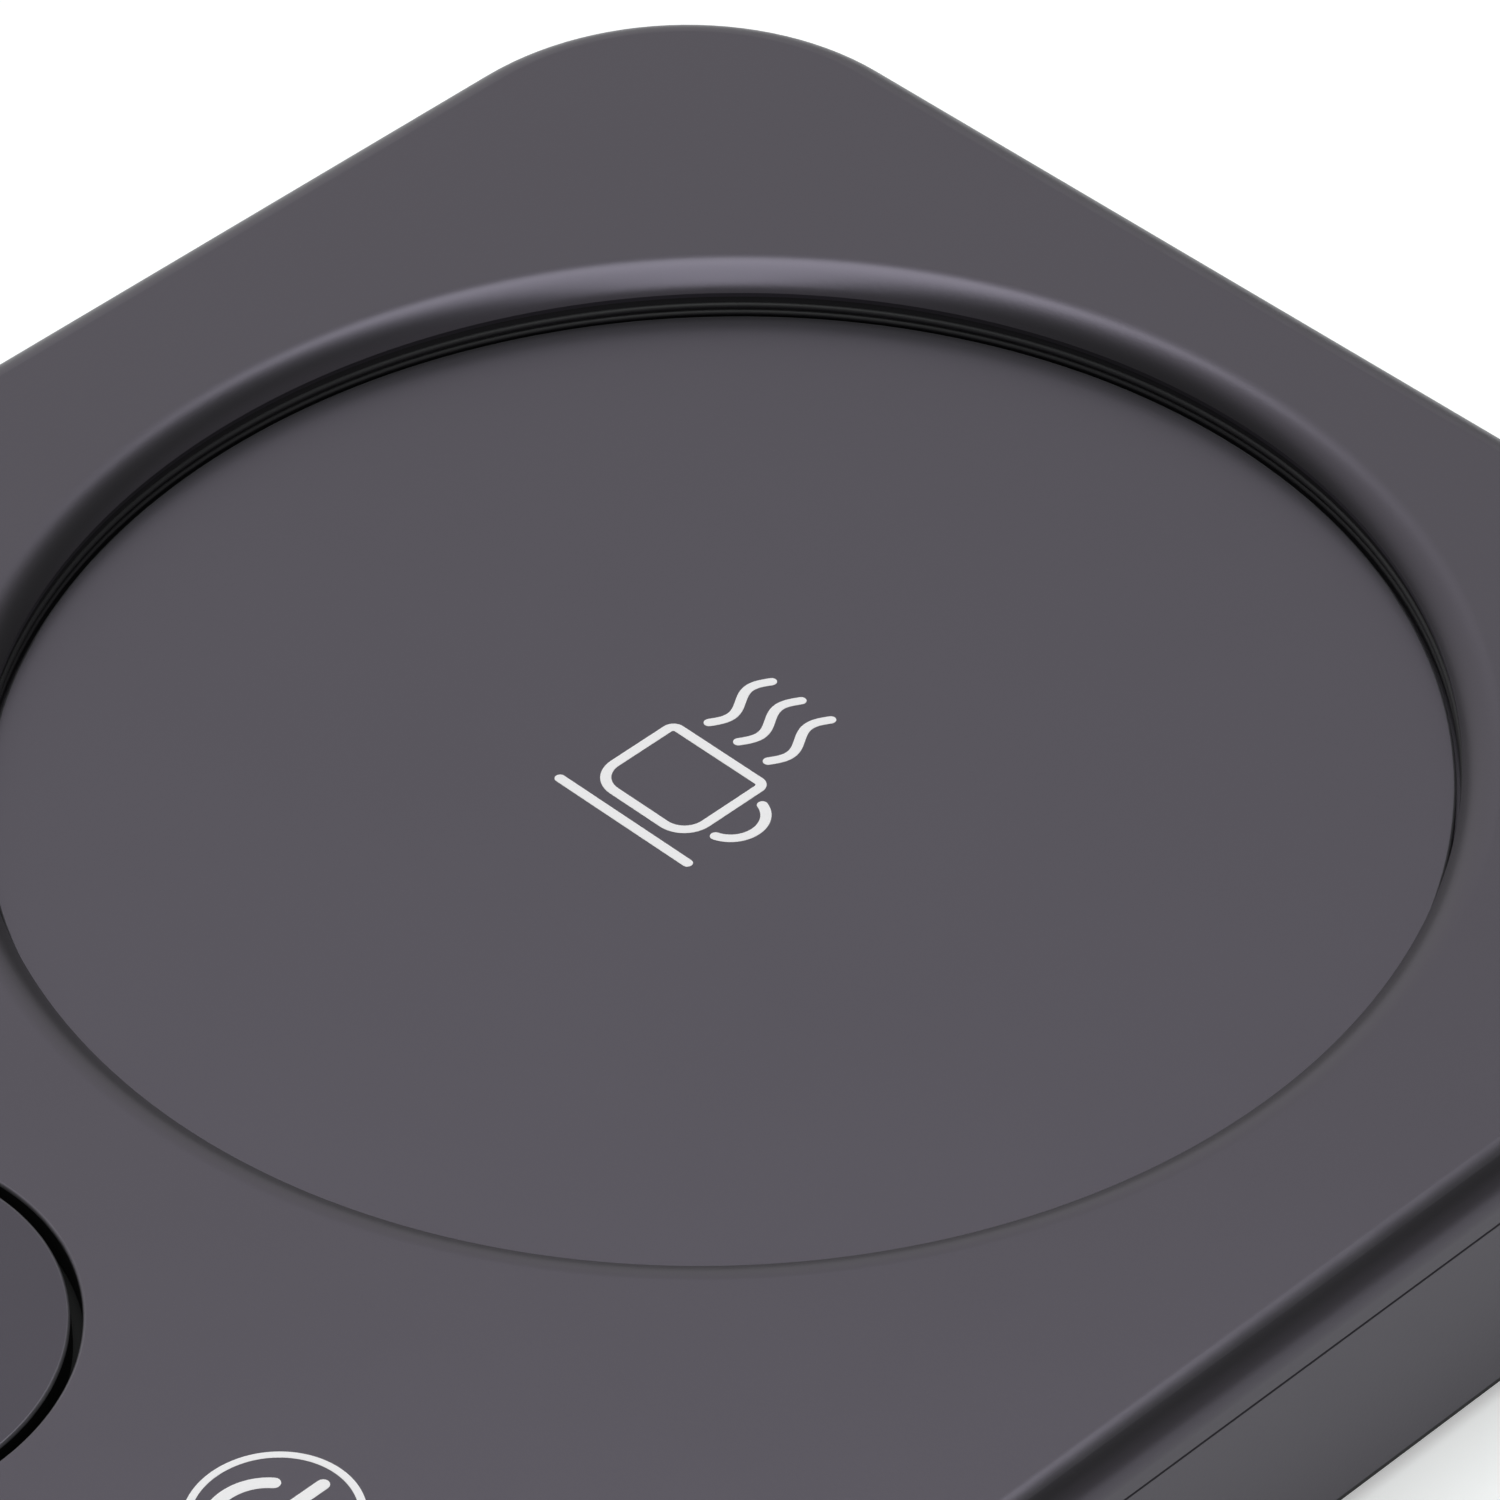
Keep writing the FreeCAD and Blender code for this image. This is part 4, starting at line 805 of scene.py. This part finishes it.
class MUGWARMER_OT_make_plate(Operator):
    """Make the coated heating plate and its seal ring"""
    bl_idname = "mugwarmer.make_plate"
    bl_label = "Make Plate and Seal"

    def execute(self, context):
        sizes = context.scene.mug_warmer.plate
        rings = context.scene.mug_warmer.case.round_steps
        finish = context.scene.mug_warmer.finish
        centre = (0.0, PLATE_Y)
        mesh = bmesh.new()
        top, under = PLATE_HIGH.z, PLATE_LOW.z
        step = top - sizes.step
        flange = (PLATE_HIGH.x - PLATE_LOW.x) / 2
        edge = arc(sizes.face - sizes.bevel, top - sizes.bevel, sizes.bevel, 0, 90, 6)
        lathe(mesh, [(0, under), (flange, under), (flange, step), (sizes.face, step)] + edge
              + [(0, top)], centre, rings)
        material = moulded("Coated Plate", finish.plate, roughness=0.34, grain=2800.0, shift=0.06,
                           dust=0.006, specular=1.0, wear_and_highlight=0.25, sheen=finish.sheen)
        piece_from(mesh_data(mesh, "heating_plate_face"), material, "housing", "heating_plate")

        mesh = bmesh.new()
        inner, outer = sizes.face + SEAL_GAP, (SEAL_HIGH.x - SEAL_LOW.x) / 2
        low, high, edge = SEAL_LOW.z, SEAL_HIGH.z, sizes.seal_edge
        bead = sizes.seal_bead
        profile = [(inner, low), (outer, low), (outer, high), (inner + edge, high)]
        profile += arc(inner + edge, high - edge, edge, 90, 180, 6)[1:]
        for level in (top + 2.4 * bead, top - 0.2 * bead):
            profile += arc(inner, level, bead, 90, 270, 8)
        lathe(mesh, profile, centre, rings, closed=True)
        material = moulded("Seal Rubber", finish.seal, roughness=0.55, grain=1800.0, depth=0.10,
                           shift=0.10)
        piece_from(mesh_data(mesh, "seal_ring"), material, "housing", "plate_gasket")
        return {"FINISHED"}


# Push button and spring

class MUGWARMER_OT_make_button(Operator):
    """Make the push button"""
    bl_idname = "mugwarmer.make_button"
    bl_label = "Make Button"

    def execute(self, context):
        sizes = context.scene.mug_warmer.button
        finish = context.scene.mug_warmer.finish
        mesh = bmesh.new()
        top, low = CAP_HIGH.z, CAP_LOW.z
        collar_low, collar_top = COLLAR_LEVELS
        roof, inner = top - BUTTON_ROOF, sizes.radius - sizes.skirt
        profile = [(0, low + PLUNGER_DEPTH), (PLUNGER_BORE, low + PLUNGER_DEPTH),
                   (PLUNGER_BORE, low), (sizes.stem, low), (sizes.stem, roof), (inner, roof),
                   (inner, collar_low), (sizes.collar, collar_low), (sizes.collar, collar_top),
                   (sizes.radius, collar_top)]
        profile += arc(sizes.radius - sizes.edge, top - sizes.edge, sizes.edge, 0, 90, 6)
        lathe(mesh, profile + [(0, top)], (0.0, CAP_Y), context.scene.mug_warmer.case.round_steps)
        material = moulded("Button Plastic", finish.button, roughness=0.31, dust=0.005,
                           specular=0.86, wear_and_highlight=0.5, sheen=finish.sheen)
        piece = piece_from(mesh_data(mesh, "button_face"), material, "button", "button_cap")
        # Painted shade: the button's sides below its top rounding take the near-black groove
        # material
        second_material(piece, painted_groove_shade(finish),
                        lambda face: face.center.z < top - 2 * sizes.edge)
        return {"FINISHED"}


def close_tree(tree, geometry, material, result):
    """Realize Instances and Set Material at the tree's end."""
    real = add_node(tree, "GeometryNodeRealizeInstances", {0: geometry})
    painted = add_node(tree, "GeometryNodeSetMaterial", {0: real.outputs[0], "Material": material})
    give(tree, result[0], painted.outputs[0])


def grown(tree, name, values, source=None):
    """The plain mesh that a geometry tree makes from its named inputs."""
    holder = linked(name + "_start", source or bpy.data.meshes.new(name + "_start"))
    modifier = holder.modifiers.new(tree.name, "NODES")
    modifier.node_group = tree
    for item in tree.interface.items_tree:
        if item.in_out == "INPUT" and item.name in values:
            modifier[item.identifier] = values[item.name]
    return evaluated_mesh(holder, name)


class MUGWARMER_OT_make_spring(Operator):
    """Wind the return spring under the button"""
    bl_idname = "mugwarmer.make_spring"
    bl_label = "Make Spring"

    def execute(self, context):
        sizes = context.scene.mug_warmer.button
        material = metal("Spring Steel", (0.46, 0.46, 0.48), 0.28, (1.0, 1.0, 1.0), 700.0)
        tree, given, result = group_tree(
            "Wound Spring", "GeometryNodeTree",
            {"Turns": "Float", "Radius": "Float", "Height": "Float", "Wire": "Float",
             "Centre": "Vector"}, {"Geometry": "Geometry"})
        spiral = add_node(tree, "GeometryNodeCurveSpiral", {
            "Resolution": 64, "Rotations": given["Turns"], "Start Radius": given["Radius"],
            "End Radius": given["Radius"], "Height": given["Height"]})
        wire = add_node(tree, "GeometryNodeCurvePrimitiveCircle", {
            "Resolution": 16, "Radius": given["Wire"]})
        swept = add_node(tree, "GeometryNodeCurveToMesh", {
            "Fill Caps": True, "Curve": spiral.outputs[0], "Profile Curve": wire.outputs[0]})
        moved = add_node(tree, "GeometryNodeTransform", {
            "Geometry": swept.outputs[0], "Translation": given["Centre"]})
        close_tree(tree, moved.outputs[0], material, result)
        whole = SPRING_HIGH.z - SPRING_LOW.z
        data = grown(tree, "return_spring", {
            "Turns": sizes.spring_turns, "Wire": sizes.spring_wire,
            "Radius": (SPRING_HIGH.x - SPRING_LOW.x) / 2 - sizes.spring_wire,
            "Height": whole - 2 * sizes.spring_wire,
            "Centre": (0.0, CAP_Y, SPRING_LOW.z + sizes.spring_wire)})
        mesh = bmesh.new()
        mesh.from_mesh(data)
        bmesh.ops.recalc_face_normals(mesh, faces=mesh.faces[:])
        mesh.to_mesh(data)
        mesh.free()
        piece = piece_from(data, material, "housing", "button_spring", sharp=60.0,
                           weighted=False)
        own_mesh(piece)
        return {"FINISHED"}


# Feet

class MUGWARMER_OT_make_feet(Operator):
    """Make the four rubber feet"""
    bl_idname = "mugwarmer.make_feet"
    bl_label = "Make Feet"

    def execute(self, context):
        material = moulded("Foot Rubber", context.scene.mug_warmer.finish.feet, roughness=0.62,
                           grain=1500.0, depth=0.2, shift=0.12)
        tree, given, result = group_tree(
            "Four Feet", "GeometryNodeTree",
            {"Foot": "Geometry", "Spread X": "Float", "Spread Y": "Float"},
            {"Geometry": "Geometry"})
        grid = add_node(tree, "GeometryNodeMeshGrid", {
            "Vertices X": 2, "Vertices Y": 2, "Size X": given["Spread X"],
            "Size Y": given["Spread Y"]})
        spread = add_node(tree, "GeometryNodeInstanceOnPoints", {
            "Points": grid.outputs["Mesh"], "Instance": given["Foot"]})
        close_tree(tree, spread.outputs[0], material, result)
        mesh = bmesh.new()
        low, high, flat = FEET_LOW.z, FEET_HIGH.z, FOOT_RADIUS - FOOT_EDGE
        profile = [(0, low)] + [(flat - inset, low + depth) for inset, depth in FOOT_GROOVE]
        profile += arc(flat, low + FOOT_EDGE, FOOT_EDGE, -90, 0, 5)
        profile += [(FOOT_RADIUS, high), (0, high)]
        lathe(mesh, profile, (0.0, 0.0), 64)
        data = grown(tree, "feet", {
            "Spread X": FEET_HIGH.x - FEET_LOW.x - 2 * FOOT_RADIUS,
            "Spread Y": FEET_HIGH.y - FEET_LOW.y - 2 * FOOT_RADIUS}, mesh_data(mesh, "foot"))
        piece_from(data, material, "housing", "rubber_feet")
        return {"FINISHED"}


# White prints

def stroke(mesh, points, width, level, closed):
    """A printed line of even width, with round ends where it is open."""
    count = len(points)
    sides = []
    for number, (x, y) in enumerate(points):
        before = points[number - 1] if closed or number else points[number]
        after = points[(number + 1) % count] if closed or number + 1 < count else points[number]
        way = Vector((after[0] - before[0], after[1] - before[1])).normalized()
        across = Vector((-way.y, way.x)) * width / 2
        sides.append((mesh.verts.new((x + across.x, y + across.y, level)),
                      mesh.verts.new((x - across.x, y - across.y, level)), way))
    pairs = zip(sides, sides[1:] + (sides[:1] if closed else []))
    for (left, right, _), (next_left, next_right, _) in pairs:
        mesh.faces.new((left, right, next_right, next_left))
    if closed:
        return
    for (x, y), (left, right, way), sign in ((points[0], sides[0], -1), (points[-1], sides[-1], 1)):
        first, last = (left, right) if sign < 0 else (right, left)
        start = Vector((first.co.x - x, first.co.y - y))
        cap = []
        for step in range(1, 8):
            angle = math.pi * step / 8
            turned = start * math.cos(angle) + way * sign * math.sin(angle) * width / 2
            cap.append(mesh.verts.new((x + turned.x, y + turned.y, level)))
        mesh.faces.new([first] + cap + [last])


class MUGWARMER_OT_make_prints(Operator):
    """Print the touch symbol on the shell and the steaming mug on the plate"""
    bl_idname = "mugwarmer.make_prints"
    bl_label = "Make Prints"

    def execute(self, context):
        sizes = context.scene.mug_warmer.prints
        ink = moulded("White Ink", context.scene.mug_warmer.finish.ink, roughness=0.5,
                      grain=5200.0, depth=0.08, shift=0.03)
        self.make_print("touch_symbol", self.touch_symbol(sizes), TOP, sizes.film, ink)
        self.make_print("mug_pictogram", self.steaming_mug(sizes), PLATE_HIGH.z, sizes.film, ink)
        return {"FINISHED"}

    def touch_symbol(self, sizes):
        """Lines of the symbol, each with its width and whether it closes: ring, arc and bar."""
        x, y = sizes.symbol_x, -sizes.symbol_y
        radius = sizes.symbol_radius - sizes.symbol_line / 2
        bow = arc(x, y - SYMBOL_DROP * MM, sizes.symbol_arc, *SYMBOL_ANGLES, 72)
        return [(arc(x, y, radius, 0, 360, 128)[:-1], sizes.symbol_line, True),
                (bow, sizes.symbol_stroke, False),
                ([(x, y + end * MM) for end in SYMBOL_BAR], sizes.symbol_stroke, False)]

    def steaming_mug(self, sizes):
        """Lines of the pictogram in the same form: mug, handle, steam and table."""
        x, y = MUG_PLACE[0] * MM, PLATE_Y + MUG_PLACE[1] * MM

        def bend(centre_x, centre_y, radius, start, end, steps):
            return arc(x + centre_x * MM, y + centre_y * MM, radius * MM, start, end, steps)

        mug = [point for *corner, start in MUG_CORNERS
               for point in bend(*corner, start, start + 90, 12)]
        lines = [(mug, sizes.stroke, True), (bend(*MUG_HANDLE, -72, 72, 24), sizes.stroke, False)]
        for place in STEAM_PLACES:
            steam = [(x + (place + STEAM_SWING * math.sin(math.tau * step / 24)) * MM,
                      y + (STEAM_FOOT + STEAM_RISE * step / 24) * MM) for step in range(25)]
            lines.append((steam, sizes.stroke, False))
        table = [(x + end_x * MM, y + end_y * MM) for end_x, end_y in TABLE_LINE]
        return lines + [(table, sizes.stroke, False)]

    def make_print(self, name, lines, level, film, ink):
        mesh = bmesh.new()
        for points, width, closed in lines:
            stroke(mesh, points, width, level, closed)
        flat = mesh.faces[:]
        bmesh.ops.recalc_face_normals(mesh, faces=flat)
        raised = bmesh.ops.extrude_face_region(mesh, geom=flat)["geom"]
        bmesh.ops.translate(mesh, vec=(0, 0, film),
                            verts=[item for item in raised if isinstance(item, bmesh.types.BMVert)])
        piece_from(mesh_data(mesh, name), ink, "housing", weighted=False)


# Finishes of the pieces that stay as the frame has them

class MUGWARMER_OT_finish_inside(Operator):
    """Give the carried-over pieces their finishes"""
    bl_idname = "mugwarmer.finish_inside"
    bl_label = "Finish Carried-over Pieces"

    def execute(self, context):
        screws = metal("Screw Steel", (0.36, 0.36, 0.38), 0.30, (14.0, 14.0, 1.0))
        board = layered("Circuit Board", (0.010, 0.075, 0.030), (0.045, 0.170, 0.070), tracks, 0.38)
        nylon = moulded("Connector Nylon", (0.72, 0.69, 0.60), roughness=0.5, grain=2400.0)
        resin = moulded("Chip Resin", (0.018, 0.018, 0.020), roughness=0.55, grain=6000.0,
                        depth=0.2)
        finishes = {
            "heater_mat": layered("Heater Film", (0.42, 0.16, 0.035), (0.60, 0.30, 0.09),
                                  stripes(130.0, 0.5), 0.35),
            "insulation_pad": moulded("Insulation Board", (0.60, 0.58, 0.52), roughness=0.9,
                                      grain=900.0, depth=0.5, shift=0.12),
            "clamp_plate": metal("Zinc Steel", (0.55, 0.55, 0.56), 0.32),
            "clamp_screws": screws, "guide_screws": screws, "board_screws": screws,
            "inlet_screws": screws, "casing_screws": screws,
            "thermistor": moulded("Bead Glass", (0.42, 0.16, 0.05), roughness=0.15, grain=900.0),
            "thermal_fuse": metal("Fuse Can", (0.62, 0.60, 0.56), 0.25),
            "button_guide": moulded("Guide Plastic", (0.030, 0.030, 0.032), roughness=0.5),
            "switch_body": moulded("Switch Plastic", (0.025, 0.025, 0.027), roughness=0.5),
            "switch_plunger": moulded("Plunger Plastic", (0.70, 0.68, 0.62), roughness=0.4),
            "control_board": board, "inlet_board": board,
            "controller_chip": resin, "power_transistor": resin,
            "filter_capacitor": layered("Capacitor Sleeve", (0.012, 0.014, 0.030),
                                        (0.48, 0.48, 0.50), stripes(32.0, 0.93), 0.3),
            "touch_electrode": metal("Electrode Foil", (0.72, 0.45, 0.28), 0.4),
            "heater_connector": nylon, "sensor_connector": nylon, "power_connector": nylon,
            "inlet_shell": metal("Inlet Steel", (0.60, 0.60, 0.62), 0.26, (1.0, 12.0, 1.0)),
            "inlet_insert": moulded("Inlet Resin", (0.022, 0.022, 0.024)),
        }
        for name, label, shade in (("heater_leads", "Red Insulation", (0.42, 0.020, 0.018)),
                                   ("power_leads", "Red Supply Insulation", (0.36, 0.018, 0.018)),
                                   ("sensor_leads", "Pale Insulation", (0.62, 0.60, 0.55))):
            finishes[name] = moulded(label, shade, roughness=0.4, grain=1500.0)
        replaced = {"top_shell", "base_tray", "heating_plate", "plate_gasket", "button_cap",
                    "rubber_feet", "button_spring"}
        missed = set(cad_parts) - set(finishes) - replaced
        if missed:
            raise RuntimeError("pieces without a finish: %s" % sorted(missed))
        for name, material in finishes.items():
            node = bpy.data.objects.get(name)
            if node is None or not node.material_slots:
                raise RuntimeError("%s is missing or has no material slot" % name)
            for slot in node.material_slots:
                slot.material = material
        return {"FINISHED"}


class MUGWARMER_PT_panel(Panel):
    bl_label = "Mug Warmer"
    bl_idname = "MUGWARMER_PT_panel"
    bl_space_type = "VIEW_3D"
    bl_region_type = "UI"
    bl_category = "Mug Warmer"

    def draw(self, context):
        settings = context.scene.mug_warmer
        for family in MugWarmerSettings.__annotations__:
            group = getattr(settings, family)
            box = self.layout.box()
            for name in group.__annotations__:
                box.prop(group, name)
        for operator in OPERATORS:
            self.layout.operator(operator.bl_idname)


OPERATORS = (
    MUGWARMER_OT_make_stage,
    MUGWARMER_OT_make_top_shell,
    MUGWARMER_OT_make_base_tray,
    MUGWARMER_OT_make_plate,
    MUGWARMER_OT_make_button,
    MUGWARMER_OT_make_spring,
    MUGWARMER_OT_make_feet,
    MUGWARMER_OT_make_prints,
    MUGWARMER_OT_finish_inside,
)
CLASSES = (CaseSettings, PlateSettings, ButtonSettings, PrintSettings, FinishSettings,
           StudioSettings, MugWarmerSettings) + OPERATORS + (MUGWARMER_PT_panel,)


def register():
    for kind in CLASSES:
        bpy.utils.register_class(kind)
    bpy.types.Scene.mug_warmer = PointerProperty(type=MugWarmerSettings)


def unregister():
    del bpy.types.Scene.mug_warmer
    for kind in reversed(CLASSES):
        bpy.utils.unregister_class(kind)


def main():
    register()
    for operator in OPERATORS:
        family, name = operator.bl_idname.split(".")
        getattr(getattr(bpy.ops, family), name)()


if __name__ == "__main__":
    main()
